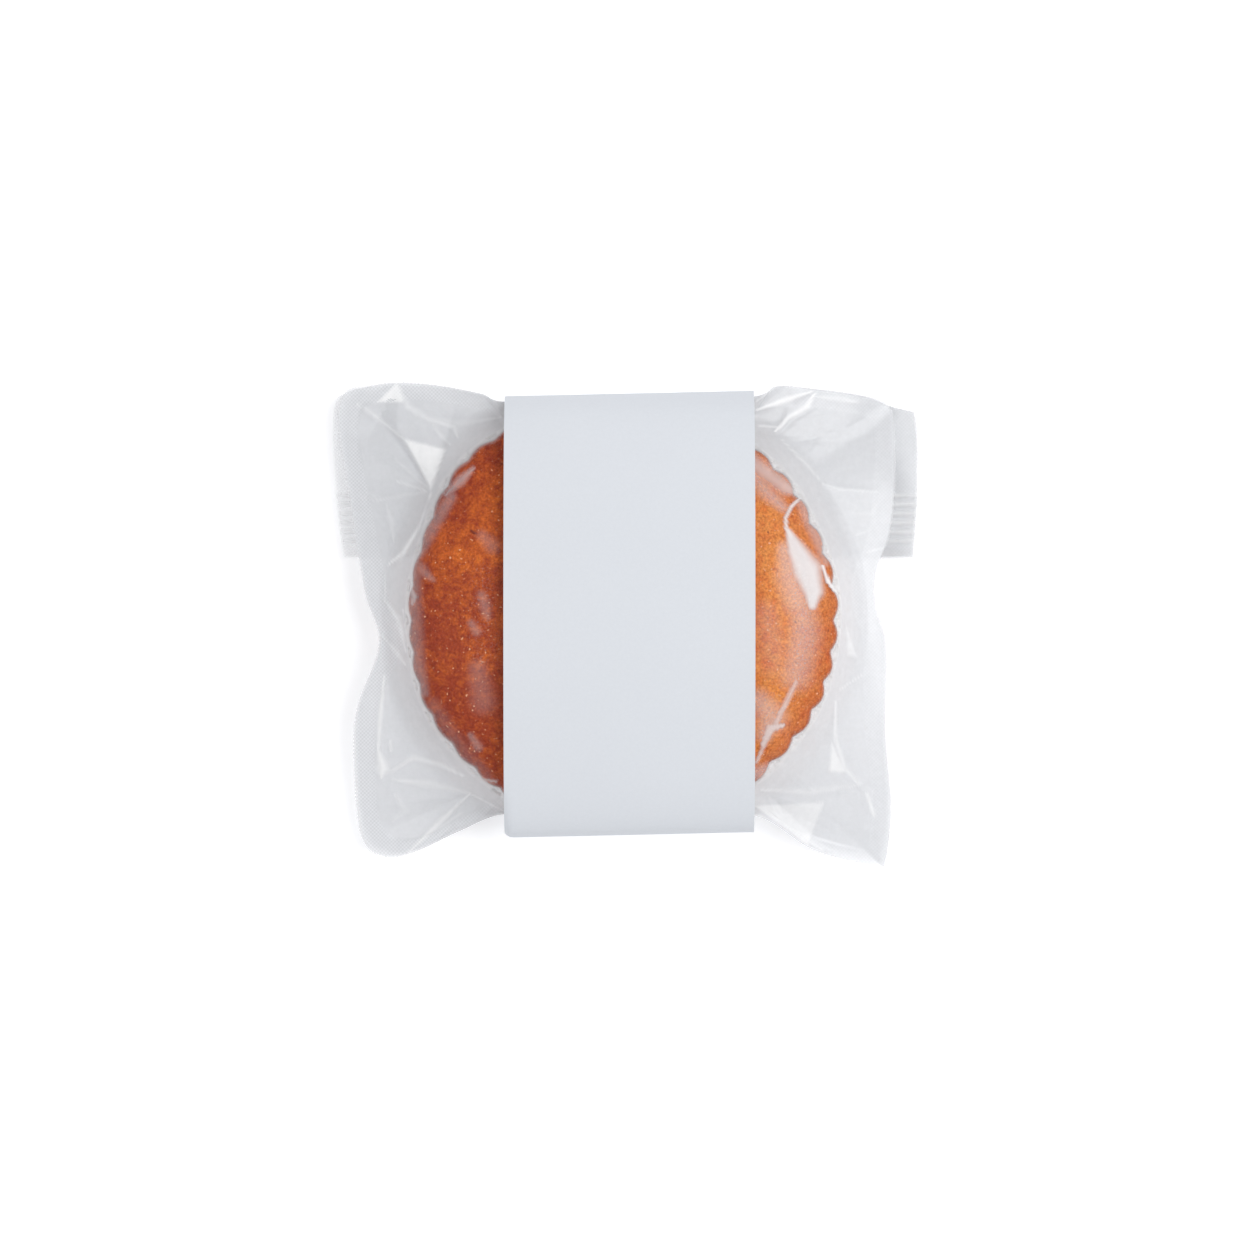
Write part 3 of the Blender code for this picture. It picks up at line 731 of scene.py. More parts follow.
# %% The creases: points are x, y and half width in millimetres, then how white the film is painted, stress whitening and painted highlight
CREASES = [
    # The left ear of the fold, and what runs to and from the pleat above the left rim
    ([(-49.8, 41.2, 0.4), (-46.5, 38.9, 0.35), (-41.0, 34.5, 0.3)], 0.55),
    (
        [(-35.9, 25.3, 0.3), (-36.1, 22.9, 0.22), (-38.0, 18.2, 0.25)]
        + [(-41.2, 13.2, 0.4), (-44.0, 11.2, 0.3)],
        0.75,
    ),
    ([(-36.5, 24.7, 0.2), (-40.4, 26.1, 0.3), (-42.3, 26.7, 0.25)], 0.28),
    ([(-36.5, 24.7, 0.2), (-41.9, 23.9, 0.35), (-47.0, 23.1, 0.3)], 0.22),
    ([(-36.3, 25.2, 0.2), (-40.0, 28.4, 0.3), (-42.8, 30.9, 0.25)], 0.16),
    ([(-44.3, 22.5, 0.3), (-43.5, 19.4, 0.5), (-42.9, 15.5, 0.3)], 0.28),
    (
        [(-41.9, 44.1, 0.4), (-40.4, 40.6, 0.5), (-36.5, 38.3, 0.4), (-31.7, 36.7, 0.4), (-31.0, 34.7, 0.3)],
        0.45,
    ),
    ([(-35.7, 37.1, 0.3), (-34.1, 35.1, 0.4), (-32.5, 33.5, 0.3)], 0.30),
    ([(-39.0, 39.0, 0.4), (-30.5, 37.3, 0.5), (-23.0, 38.4, 0.4)], 0.22),
    ([(-49.0, 23.7, 0.3), (-47.0, 24.0, 0.35), (-45.4, 23.6, 0.3)], 0.25),
    # The left waist
    ([(-44.5, 9.2, 0.3), (-44.5, 4.1, 0.3)], 0.40),
    ([(-44.7, 4.8, 0.3), (-41.9, 0.9, 0.5), (-40.4, -5.0, 0.4)], 0.45),
    ([(-45.0, -2.0, 0.3), (-42.0, -5.5, 0.4), (-40.5, -7.5, 0.3)], 0.40),
    ([(-41.0, 2.8, 0.3), (-40.3, -1.5, 0.4)], 0.35),
    # Inside the left seal, and the fans below it
    ([(-44.7, -9.5, 0.3), (-45.4, -16.0, 0.45), (-45.9, -23.0, 0.4)], 0.75),
    ([(-45.9, -23.0, 0.4), (-45.0, -26.6, 0.9), (-45.4, -28.4, 0.4)], 0.90),
    ([(-43.6, -21.5, 0.5), (-43.5, -23.4, 0.5)], 0.55),
    ([(-44.5, -27.9, 0.3), (-39.3, -24.6, 0.4), (-34.0, -26.0, 0.4), (-30.0, -27.9, 0.3)], 0.55),
    ([(-43.1, -28.8, 0.4), (-36.0, -29.6, 0.6), (-28.7, -31.2, 0.4)], 0.45),
    ([(-40.3, -42.4, 0.5), (-35.0, -37.2, 0.45), (-28.7, -31.2, 0.3)], 0.70),
    ([(-28.7, -31.2, 0.3), (-22.6, -34.4, 0.4)], 0.45),
    ([(-43.0, -31.4, 0.4), (-41.0, -34.6, 0.6), (-43.4, -36.6, 0.4)], 0.30),
    ([(-38.0, -40.0, 0.4), (-30.5, -35.0, 0.6)], 0.25),
    # The right end of the fold
    ([(24.4, 41.4, 0.3), (27.9, 44.1, 0.3)], 0.45),
    ([(24.4, 39.8, 0.4), (29.9, 41.8, 0.5), (34.6, 43.3, 0.3)], 0.80),
    ([(27.9, 35.9, 0.3), (29.9, 38.1, 0.4), (33.8, 40.6, 0.45), (35.2, 43.0, 0.3)], 0.75),
    ([(35.4, 42.4, 0.3), (40.5, 41.9, 0.5), (43.4, 41.4, 0.3)], 0.35),
    ([(29.1, 34.3, 0.25), (33.4, 30.0, 0.3), (36.9, 26.1, 0.3)], 0.30),
    ([(36.9, 26.1, 0.3), (39.7, 25.3, 0.3), (47.2, 24.7, 0.3)], 0.28),
    ([(24.8, 36.9, 0.5), (28.3, 36.7, 0.4)], 0.50),
    ([(42.3, 20.8, 0.3), (45.9, 20.6, 0.4), (47.0, 22.9, 0.3)], 0.14),
    ([(42.9, 16.7, 0.25), (45.6, 17.5, 0.25)], 0.22),
    ([(44.8, 13.6, 0.3), (48.9, 14.4, 0.3)], 0.20),
    # The right waist and side
    ([(41.2, -1.3, 0.4), (42.5, -5.6, 0.5)], 0.35),
    ([(39.9, -11.9, 0.3), (44.0, -9.3, 0.3)], 0.30),
    ([(39.0, -14.1, 0.3), (39.0, -21.0, 0.35), (40.8, -26.6, 0.35), (43.6, -29.8, 0.3)], 0.55),
    ([(25.2, -30.5, 0.4), (34.0, -31.0, 0.5), (43.6, -29.8, 0.4)], 0.35),
    ([(45.0, -31.4, 0.5), (46.4, -35.4, 0.7)], 0.70),
    ([(26.0, -34.0, 0.4), (32.0, -39.0, 0.5), (37.0, -42.0, 0.4)], 0.30),
]
# Triangles of film painted white, painted highlights where facets face the lamps, and how white
PAINTED_HIGHLIGHT_FACETS = [
    ([(-46.1, 41.5), (-42.3, 45.1), (-41.0, 41.4)], 0.90),
    ([(-41.0, 34.5), (-33.3, 32.6), (-35.9, 25.3)], 0.95),
    ([(38.4, -22.0), (41.2, -27.4), (38.0, -27.2)], 0.75),
    ([(41.0, -0.6), (42.9, -5.8), (41.2, -5.6)], 0.40),
    ([(24.0, -33.5), (37.0, -33.0), (34.0, -41.0)], 0.60),
]
FANS = [
    # The pleat above the left rim
    (
        (-35.9, 25.3),
        18.0,
        [(66, 0.0), (74, -0.10), (100, 0.16), (119, 0.14), (126, -0.06), (150, 0.08), (170, 0.0)],
    ),
    # The ear at the fold's left end
    ((-42.1, 45.6), 14.0, [(195, 0.0), (218, 0.14), (242, -0.08), (268, 0.12), (300, -0.04), (320, 0.0)]),
    # The lower left ear
    ((-29.5, -31.5), 20.0, [(168, 0.0), (188, 0.08), (203, -0.10), (222, 0.12), (240, -0.06), (255, 0.0)]),
    # The upper right ear
    (
        (28.5, 35.0),
        22.0,
        [(-50, 0.0), (-42, 0.03), (0, -0.02), (35, 0.03), (52, -0.03), (68, 0.05), (82, 0.0)],
    ),
    # The lower right ear
    ((26.0, -31.0), 26.0, [(275, 0.0), (296, 0.05), (318, -0.05), (340, 0.03), (362, 0.0)]),
]
CREASE_HEIGHT = 0.22
# A crease's slopes reach out this many half widths, and its ends are this thin against its middle
CREASE_SPREAD = 3.2
CREASE_TIP = 0.45
FACET_BORDER = 0.35


def tapered(points):
    """A crease thins out at both of its ends."""
    ends = (0, len(points) - 1)
    shares = [CREASE_TIP if index in ends else 1.0 for index in range(len(points))]
    return [(x, y, half * share) for (x, y, half), share in zip(points, shares)]


def creases(x, y):
    """Heights of all the listed folds."""
    total = np.zeros_like(x)
    for points, white in CREASES:
        beside = np.clip(1 - stroke_distance(x, y, points) / CREASE_SPREAD, 0.0, 1.0)
        total += CREASE_HEIGHT * white * beside**1.4
    for tip, reach, pleats in FANS:
        total += fan(x, y, tip, reach, pleats)
    return total


def whiteness_and_highlight(x, y):
    """How white the film is painted: along creases, partly stress whitening and partly painted highlight, and
    on bright facets, painted highlight.
    """
    white = np.zeros_like(x)
    for points, most in CREASES:
        white = np.maximum(white, most * stroke(x, y, tapered(points), 1.0))
    for corners, most in PAINTED_HIGHLIGHT_FACETS:
        white = np.maximum(white, most * facet(x, y, corners, FACET_BORDER))
    return white


# %% [markdown]
# Between those, the film has small crumples that no one would draw by hand: low folds that run out from
# the rim. They are drawn from a seeded generator, each with a random place, length and height.

# %% Small crumples
CRUMPLES = 90
CRUMPLE_LENGTHS = (2.5, 7.0)
CRUMPLE_WIDTHS = (0.5, 1.1)
CRUMPLE_HEIGHTS = (0.03, 0.10)
crumple_draw = np.random.default_rng(7)


def small_crumples():
    folds = []
    for _ in range(CRUMPLES):
        station = crumple_draw.integers(STATIONS)
        direction = edge_angle[station]
        near = crumple_draw.uniform(39.5, max(39.8, edge_radius[station] - 6))
        length = crumple_draw.uniform(*CRUMPLE_LENGTHS)
        heading = direction + crumple_draw.normal(0, 0.6)
        start = (CAKE_X + near * math.cos(direction), CAKE_Y + near * math.sin(direction))
        end = (start[0] + length * math.cos(heading), start[1] + length * math.sin(heading))
        width = crumple_draw.uniform(*CRUMPLE_WIDTHS)
        middle = ((start[0] + end[0]) / 2, (start[1] + end[1]) / 2)
        line = [(*start, 0.4 * width), (*middle, width), (*end, 0.3 * width)]
        folds.append((line, crumple_draw.uniform(*CRUMPLE_HEIGHTS) * crumple_draw.choice((-1, 1))))
    return folds


crumple_folds = small_crumples()


def crumples(x, y):
    total = np.zeros_like(x)
    for line, height in crumple_folds:
        total += height * np.clip(1 - stroke_distance(x, y, line), 0.0, 1.0) ** 1.3
    return total


# %% [markdown]
# ## Veils and painted highlights on the crust
# Where the film isn't wetted it shows as a pale veil. Each veil is a stroke: a few points with the
# stroke's half width at each, and how milky it is. The largest lies on the right of the crown, beside a
# bubble with a thin bright edge. The veils are partly painted highlight too: the large teardrop, the bands
# and the bubble's edge on the right and the thin haze over the right side stand where the lamps'
# reflection lies, and the crown's film is painted whiter wherever a veil shows.

# %% The veils and painted highlights: points are x, y and half width in millimetres, then the haze and how soft its border is
VEILS_AND_HIGHLIGHTS = [
    # Left side
    ([(-33.0, 24.0, 0.4), (-30.2, 26.6, 0.9), (-27.8, 28.9, 0.3)], 0.30, 0.8),
    ([(-39.0, 12.3, 0.5), (-37.6, 10.2, 1.1), (-35.2, 8.3, 0.4)], 0.16, 1.0),
    ([(-39.4, 6.6, 0.4), (-38.7, 5.2, 0.5), (-39.2, 3.9, 0.4)], 0.45, 0.9),
    ([(-38.6, 13.0, 0.8), (-39.4, 4.0, 1.7), (-38.8, -6.0, 1.6), (-36.9, -12.5, 0.8)], 0.18, 1.0),
    ([(-26.2, 16.4, 1.0), (-24.2, 14.4, 1.3)], 0.11, 1.0),
    ([(-26.3, 5.6, 0.7), (-25.6, 3.4, 1.0), (-25.2, 1.4, 0.6)], 0.13, 1.0),
    ([(-28.2, 0.4, 0.6), (-27.2, -1.2, 0.8)], 0.14, 1.0),
    ([(-28.4, -20.2, 0.5), (-27.0, -22.4, 0.8)], 0.18, 1.0),
    ([(-27.0, -8.0, 1.6), (-26.0, -14.0, 2.2)], 0.10, 0.9),
    ([(-36.4, -16.0, 0.3), (-34.8, -19.2, 0.4), (-32.3, -22.9, 0.4), (-30.8, -25.3, 0.35)], 0.50, 0.8),
    ([(-30.8, -25.3, 0.3), (-28.4, -28.1, 0.35), (-23.7, -28.8, 0.3)], 0.40, 0.8),
    ([(-35.4, -14.5, 1.2), (-30.6, -22.5, 1.6), (-25.5, -28.0, 1.3)], 0.08, 1.0),
    ([(-32.0, 23.6, 1.0), (-36.2, 17.0, 1.4), (-38.0, 12.8, 0.8)], 0.17, 0.8),
    # The upper right: two bands
    ([(23.0, 30.2, 1.4), (29.5, 25.4, 1.3), (31.8, 24.2, 0.4)], 0.42, 1.0),
    ([(24.0, 27.4, 1.3), (25.8, 24.6, 1.4), (29.0, 21.6, 0.9)], 0.28, 1.0),
    ([(31.8, 24.2, 0.8), (33.6, 19.6, 1.0), (36.2, 14.4, 1.1), (37.0, 11.4, 0.6)], 0.24, 1.0),
    # The bubble's edge
    (
        [(32.3, 23.4, 0.25), (30.6, 21.8, 0.3), (29.5, 19.7, 0.3), (29.6, 17.7, 0.32), (30.6, 16.6, 0.4)],
        0.75,
        0.8,
    ),
    # The large teardrop, partly a painted highlight of the lamps
    (
        [(30.0, 17.2, 0.5), (31.5, 13.7, 1.6), (33.4, 10.1, 2.5), (34.5, 6.4, 1.8), (34.4, 3.6, 0.8)],
        0.74,
        0.6,
    ),
    ([(29.2, 14.0, 1.2), (30.4, 9.0, 2.4), (32.0, 4.0, 2.6)], 0.26, 1.0),
    # Curls at the rim
    ([(36.3, 10.8, 0.3), (37.4, 8.0, 0.35), (38.6, 6.4, 0.3)], 0.85, 0.4),
    # Below the teardrop
    ([(32.6, 3.0, 2.2), (33.0, -2.0, 2.6), (31.4, -9.0, 2.6)], 0.24, 1.0),
    ([(26.0, 2.0, 2.4), (28.0, -7.0, 3.0)], 0.10, 1.0),
    ([(24.5, -13.8, 1.8), (27.0, -17.0, 2.4), (25.6, -20.0, 1.4)], 0.28, 1.0),
    ([(31.4, -10.5, 0.4), (28.6, -16.2, 0.5), (25.2, -22.8, 0.35), (24.2, -25.2, 0.3)], 0.48, 0.6),
    ([(29.2, -18.4, 0.3), (26.7, -19.0, 0.8), (25.3, -22.0, 0.4)], 0.60, 0.5),
    ([(24.4, -27.4, 1.5), (27.4, -26.2, 1.0)], 0.28, 0.8),
    # A thin haze over the whole right side: painted reflection of the lamps on the film
    ([(28.0, 24.0, 8.0), (31.0, 4.0, 9.0), (27.0, -20.0, 7.0)], 0.020, 1.0),
]
# Where drops of fat lie, as strokes, and how much they show
WET_RIGHT = [(31.6, 10.0, 1.2), (32.6, 4.6, 1.8), (33.4, -3.0, 2.8), (31.6, -9.0, 2.2)]
WET_RIGHT += [(27.0, -15.5, 2.6), (25.4, -20.0, 1.2)]
DROPS = [
    (WET_RIGHT, 0.15),
    ([(26.0, 2.0, 1.6), (28.0, -4.0, 2.2)], 0.10),
    ([(-26.0, 10.0, 2.0), (-26.0, -6.0, 2.4)], 0.12),
]
# The haze of film that clings and of the free skirt. The skirt is painted a little hazier toward +X, painted
# shade that greys its lit right side, and less hazy toward -X, painted light on its left
CLING_HAZE = 0.010
SKIRT_HAZE = 0.64
SIDE_LIGHT_AND_SHADE_HAZE = 0.06
VEIL_AND_HIGHLIGHT_WHITE = 0.6


def veil_and_highlight_haze(x, y):
    haze = np.full_like(x, CLING_HAZE)
    for points, milky, softness in VEILS_AND_HIGHLIGHTS:
        haze = np.maximum(haze, milky * stroke(x, y, points, softness))
    return haze


def drop_share(x, y):
    share = np.zeros_like(x)
    for points, many in DROPS:
        share = np.maximum(share, many * stroke(x, y, points, 0.8))
    return share


# %% [markdown]
# ## The bag's two layers
# The front layer lies on the crust, leaves it just past the rim and drops to the skirt. The back layer
# lies under the foot, climbs the fluted side and meets the front a few millimetres out, where the vacuum
# has pressed the two together. They are made as one closed sheet that turns at the edge: rings run from
# the crown's middle out to the edge and back to the foot's middle.

# %% The bag's rings
FILM_CLEARANCE = 0.35
LEAVE_RADIUS = RIM_RADIUS + 0.45
BACK_LEAVE_RADIUS = 36.3
BACK_LEAVE_Z = 9.3
BACK_FLOOR_Z = 1.6
BACK_FLOOR_RADIUS = 31.5
# Half the gap between the layers at the edge and where they leave the cake, and how wide that root is
LAYER_GAP = 0.07
ROOT_GAP = 3.2
ROOT_WIDTH = 5.5
# The skirt's least width, and the width below which its back layer begins to run straight
LEAST_SKIRT = 1.2
WIDE_SKIRT = 4.0
# The flutes show in this share of the skirt
FLUTED_SHARE = 0.12
SEAL_WIDTH = 4.9
SEAL_HAZE = 0.05
EDGE_FADE = 0.5
# How clearly the seals' mesh shows on the left and on the right
MESH_SHOWS = (1.0, 0.3)
CROWN_RADII = np.concatenate([[6.0, 11.0, 15.0, 18.5], np.linspace(21.0, LEAVE_RADIUS, 46)])
SKIRT_RINGS = 54
BACK_SKIRT_RINGS = 16

rim_shift = rim_wander(edge_angle) + flute_depth(edge_angle) * (flute_rise(edge_angle) - 1)
leave = np.minimum(LEAVE_RADIUS + rim_wander(edge_angle), edge_radius - LEAST_SKIRT)
back_leave = np.minimum(BACK_LEAVE_RADIUS, edge_radius - 2 * LEAST_SKIRT)


def crown_film(radius):
    """Height of the film on the crust. It follows the flutes and the wandering rim."""
    near_rim = smoothstep(0.90, 1.0, radius / RIM_RADIUS)
    return crown_z(radius - (rim_shift + FILM_CLEARANCE) * near_rim) + FILM_LIFT


def station_grid(radius):
    """Points at a radius for each station."""
    return CAKE_X + radius * np.cos(edge_angle), CAKE_Y + radius * np.sin(edge_angle)


def skirt_layers(share):
    """Middle height and half gap of the two layers, from the rim (share 0) to the edge (share 1)."""
    root = np.clip(ROOT_WIDTH / (edge_radius - leave), 0.25, 0.9)
    half_gap = ROOT_GAP * np.clip(1 - share / root, 0.0, 1.0) ** 2 + LAYER_GAP
    start = RIM_Z + FILM_LIFT - ROOT_GAP - LAYER_GAP
    fluted = (crown_film(leave) - RIM_Z - FILM_LIFT) * np.clip(1 - share / FLUTED_SHARE, 0.0, 1.0) ** 2
    return edge[:, 2] + (start - edge[:, 2]) * (1 - share) ** 1.5 + fluted, half_gap


def folds(x, y, share):
    """Creases and crumples. They fade at the rim and at the edge, and the seals are stiffer."""
    seal = seal_share(leave + (edge_radius - leave) * share)
    free = smoothstep(0.0, 0.22, share) * smoothstep(-0.02, 0.12, 1 - share)
    return creases(x, y) * free * (1 - 0.6 * seal) + crumples(x, y) * free * (1 - 0.8 * seal)


def rim_haze(radius):
    """The skirt's haze begins where the crust ends, flute by flute. The left side has the softer border."""
    soft = 0.5 + 0.5 * smoothstep(0.0, 0.9, -np.cos(edge_angle))
    # Painted shade and light: more haze on the lit right side, less on the left
    most = SKIRT_HAZE + SIDE_LIGHT_AND_SHADE_HAZE * np.cos(edge_angle)
    return most * smoothstep(-soft, 0.45, radius - RIM_RADIUS - rim_shift)


def edge_fade(radius):
    """Film thins out of sight at its very edge."""
    return smoothstep(0.0, EDGE_FADE, edge_radius - radius)


def seal_share(radius):
    """1 on the heat seals at the two sides of the bag."""
    sideways = smoothstep(0.45, 0.7, np.abs(np.cos(edge_angle)))
    return sideways * (1 - smoothstep(SEAL_WIDTH - 0.5, SEAL_WIDTH + 0.1, edge_radius - radius))


def crown_rings():
    radius = CROWN_RADII[:, None] * leave / LEAVE_RADIUS
    x, y = station_grid(radius)
    haze = np.maximum(veil_and_highlight_haze(x, y), rim_haze(radius))
    # The crown's veils are painted white: milky film and painted highlight
    return x, y, crown_film(radius), haze, drop_share(x, y), VEIL_AND_HIGHLIGHT_WHITE + 0 * x, 0 * x


def skirt_rings():
    share = np.linspace(0, 1, SKIRT_RINGS + 1)[1:, None] ** 0.9
    radius = leave + (edge_radius - leave) * share
    x, y = station_grid(radius)
    middle, half_gap = skirt_layers(share)
    height = middle + half_gap + folds(x, y, share)
    # Creases are painted white, partly stress whitening and partly painted highlight, bright facets are
    # painted highlight, and the film turns hazier there
    white = whiteness_and_highlight(x, y) * smoothstep(0.0, 0.1, share)
    haze = np.maximum(veil_and_highlight_haze(x, y), rim_haze(radius))
    seal = seal_share(radius)
    haze = haze + (MOST_HAZE - haze) * white + SEAL_HAZE * seal
    meshed = seal * np.where(np.cos(edge_angle) < 0, *MESH_SHOWS)
    return x, y, height, haze * edge_fade(radius), 0 * x, white, meshed


def back_rings():
    """From the edge inwards under the skirt, then down the cake's side and across its foot.

    Where the skirt is narrow, inside the sleeve, it runs straight from the edge to the cake's side.
    """
    outer = np.linspace(1, 0, BACK_SKIRT_RINGS + 1)[1:-1, None]
    radius = back_leave + (edge_radius - back_leave) * outer
    share = np.clip((radius - leave) / (edge_radius - leave), 0.0, 1.0)
    x, y = station_grid(radius)
    middle, half_gap = skirt_layers(share)
    under = middle - half_gap + folds(x, y, share)
    straight = BACK_LEAVE_Z + (edge[:, 2] - LAYER_GAP - BACK_LEAVE_Z) * outer
    narrow = 1 - smoothstep(LEAST_SKIRT, WIDE_SKIRT, edge_radius - leave)
    under = under + (straight - under) * narrow
    near = smoothstep(0.0, 0.30, outer)
    skirt = (x, y, BACK_LEAVE_Z * (1 - near) + under * near)
    inner = np.linspace(1, 0, 6)[:, None]
    side = (*station_grid(BACK_FLOOR_RADIUS + (back_leave - BACK_FLOOR_RADIUS) * inner),)
    side_z = BACK_FLOOR_Z + (BACK_LEAVE_Z - BACK_FLOOR_Z) * inner + 0 * edge_radius
    floor_radius = np.array([24.0, 12.0])[:, None] + 0 * edge_radius
    floor = (*station_grid(floor_radius), np.full_like(floor_radius, BACK_FLOOR_Z))
    x, y, z = (np.vstack(rows) for rows in zip(skirt, (*side, side_z), floor))
    haze = np.full_like(x, SKIRT_HAZE)
    haze[: len(radius)] *= edge_fade(radius)
    return x, y, z, haze, 0 * x, 0 * x, 0 * x


# %% Make the bag
def make_bag():
    x, y, z, *layers = (np.vstack(rows) for rows in zip(crown_rings(), skirt_rings(), back_rings()))
    points = np.stack([x, y, z], 2).reshape(-1, 3)
    poles = [(CAKE_X, CAKE_Y, TOP_Z + FILM_LIFT), (CAKE_X, CAKE_Y, BACK_FLOOR_Z)]
    points = np.vstack([points, poles])
    faces = grid_faces(len(x), STATIONS, closed_columns=True)[:, ::-1].tolist()
    for first, second, pole in cap_faces(len(x), STATIONS, len(points) - 2, len(points) - 1):
        faces.append((second, first, pole))
    values = {}
    for label, layer in zip(("haze", "drops", "whiteness_and_highlight", "seal"), layers):
        at_poles = [CLING_HAZE, SKIRT_HAZE] if label == "haze" else [0.0, 0.0]
        values[label] = np.append(layer.ravel(), at_poles)
    piece = make_piece("film_bag", points, faces, clear_film, values)
    piece.data.set_sharp_from_angle(angle=math.radians(70))
    return piece


bag = make_bag()
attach(bag, "root")
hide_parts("bag")

# %% [markdown]
# ## The folded end
# The bag's top end is folded back under the skirt. It shows past the drawn-in sides, left and right, and
# ends in a heat seal whose ribs run across it. It is a thin closed sheet, two layers pressed together,
# and its ribs are waves in both of them, their crests painted whiter and hazier as a painted highlight.
# Its right end is painted the hazier one, painted shade on its lit side, and its left end the clearer one,
# painted light.

# %% The folded end of the bag
FLAP_LEFT = [(-54.3, 42.0), (-54.9, 38.0), (-54.2, 24.0), (-52.9, 12.3)]
FLAP_RIGHT = [(54.3, 39.8), (54.9, 36.5), (54.9, 24.0), (54.1, 12.3)]
FLAP_COLUMNS = 180
FLAP_ROWS = 110
FLAP_THICKNESS = 0.16
FLAP_END_Y = 12.3
FLAP_END_Z = 0.8
FLAP_END_LIFT = 2.0
# How far the fold lies inside the skirt's edge and below it, and the flap below the bag
FOLD_INSET = 0.15
FOLD_DROP = 0.3
FLAP_DROP = 0.5
UNDERSIDE_RADIUS = 31.8
FLAP_WAVE = 0.25
# Haze of the folded end at its left and right: painted light on the left, painted shade on the lit right
FLAP_LIGHT_AND_SHADE_HAZE = (0.21, 0.62)
FLAP_FADE = 0.8
RIB_PITCH = 1.7
RIB_HEIGHT = 0.18
RIB_RUN_IN = 0.6
RIBS_FROM_Y = 14.6
RIBS_TO_Y = 24.8
CREST_HIGHLIGHT_HAZE = 0.3


def make_flap():
    fold = smooth_line([(-54.3, 42.0, 5.0)] + EDGE_LINE[:12] + [(54.3, 39.8, 5.0)], FLAP_COLUMNS + 1)
    left = smooth_line(FLAP_LEFT, FLAP_ROWS + 1)
    right = smooth_line(FLAP_RIGHT, FLAP_ROWS + 1)
    down = np.linspace(0, 1, FLAP_ROWS + 1)[:, None]
    across = np.linspace(0, 1, FLAP_COLUMNS + 1)[None, :]
    spread = left[:, :1] + (right[:, :1] - left[:, :1]) * across
    x = fold[:, 0] + (spread - fold[:, 0]) * np.clip(down * 4, 0, 1)
    y = fold[:, 1] - FOLD_INSET + (FLAP_END_Y - fold[:, 1] + FOLD_INSET) * down
    end_z = FLAP_END_Z + FLAP_END_LIFT * (2 * across - 1) ** 2
    z = fold[:, 2] - FOLD_DROP + (end_z - fold[:, 2] + FOLD_DROP) * down
    away = np.hypot(x - CAKE_X, y - CAKE_Y)
    angle = np.arctan2(y - CAKE_Y, x - CAKE_X)
    order = np.argsort(edge_angle)
    reach = np.interp(angle, edge_angle[order], edge_radius[order], period=math.tau)
    rim = np.interp(angle, edge_angle[order], edge[order, 2], period=math.tau)
    outward = np.clip((away - UNDERSIDE_RADIUS) / (reach - UNDERSIDE_RADIUS), 0, 1)
    under = BACK_FLOOR_Z + (rim - FLAP_DROP - BACK_FLOOR_Z) * outward
    z = np.minimum(z, under - FLAP_DROP)
    ribbed = smoothstep(RIBS_FROM_Y, RIBS_FROM_Y + RIB_RUN_IN, y)
    ribbed = ribbed * (1 - smoothstep(RIBS_TO_Y - RIB_RUN_IN, RIBS_TO_Y, y))
    rib_wave = np.sin(math.tau * y / RIB_PITCH)
    z = z + RIB_HEIGHT * ribbed * rib_wave
    z = z + FLAP_WAVE * np.sin(x * 0.55 + 1.0) * np.sin(y * 0.4) * smoothstep(44, 50, np.abs(x))
    top = np.stack([x, y, z + FLAP_THICKNESS / 2], 2).reshape(-1, 3)
    bottom = np.stack([x, y, z - FLAP_THICKNESS / 2], 2).reshape(-1, 3)
    wide = FLAP_COLUMNS + 1
    quads = grid_faces(FLAP_ROWS + 1, wide)
    faces = quads[:, ::-1].tolist() + (quads + len(top)).tolist()
    border = list(range(wide))
    border += [row * wide + FLAP_COLUMNS for row in range(1, FLAP_ROWS + 1)]
    border += [FLAP_ROWS * wide + column for column in reversed(range(FLAP_COLUMNS))]
    border += [row * wide for row in reversed(range(1, FLAP_ROWS))]
    for here, after in zip(border, border[1:] + border[:1]):
        faces.append((here, after, after + len(top), here + len(top)))
    points = np.vstack([top, bottom])
    inside = np.minimum(np.minimum(x - left[:, :1], right[:, :1] - x), y - FLAP_END_Y)
    # Painted highlight: the rib crests are painted whiter and hazier
    rib_crest_highlight = ribbed * (0.25 + 0.25 * rib_wave)
    # Painted light and shade: less haze on the left end, more on the lit right end
    side_shaded_haze = FLAP_LIGHT_AND_SHADE_HAZE[0] + (FLAP_LIGHT_AND_SHADE_HAZE[1] - FLAP_LIGHT_AND_SHADE_HAZE[0]) * across
    haze = (side_shaded_haze + CREST_HIGHLIGHT_HAZE * rib_crest_highlight) * smoothstep(0.0, FLAP_FADE, inside)
    seal = MESH_SHOWS[1] * smoothstep(49.0, 50.0, np.abs(x)) * (1 - ribbed)
    layers = {"haze": haze, "drops": 0 * haze, "whiteness_and_highlight": rib_crest_highlight, "seal": seal}
    values = {label: np.tile(layer.ravel(), 2) for label, layer in layers.items()}
    piece = make_piece("folded_end", points, faces, shaded_sealed_film, values)
    piece.data.set_sharp_from_angle(angle=math.radians(70))
    return piece


flap = make_flap()
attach(flap, "root")

# %% [markdown]
# ## The sleeve
# The paper is a loop drawn taut round the pack, so its section is the smallest convex line round
# everything inside it: the crown, the rim, the folded edge and the two edges of the foot. The line is
# worked out the way a belt runs round pulleys. The same loop holds from side to side, so it stands a
# little off the round crown at its two edges, and shades the crust there.

# %% The sleeve's loop
SLEEVE_SKEW = 0.022
PAPER_THICKNESS = 0.35
SLEEVE_CLEARANCE = 0.75
SLEEVE_COLUMNS = 24
SLEEVE_BORDER = np.array([0.0, 0.4, 0.9, 1.6])
SLEEVE_MARGIN = 2.4
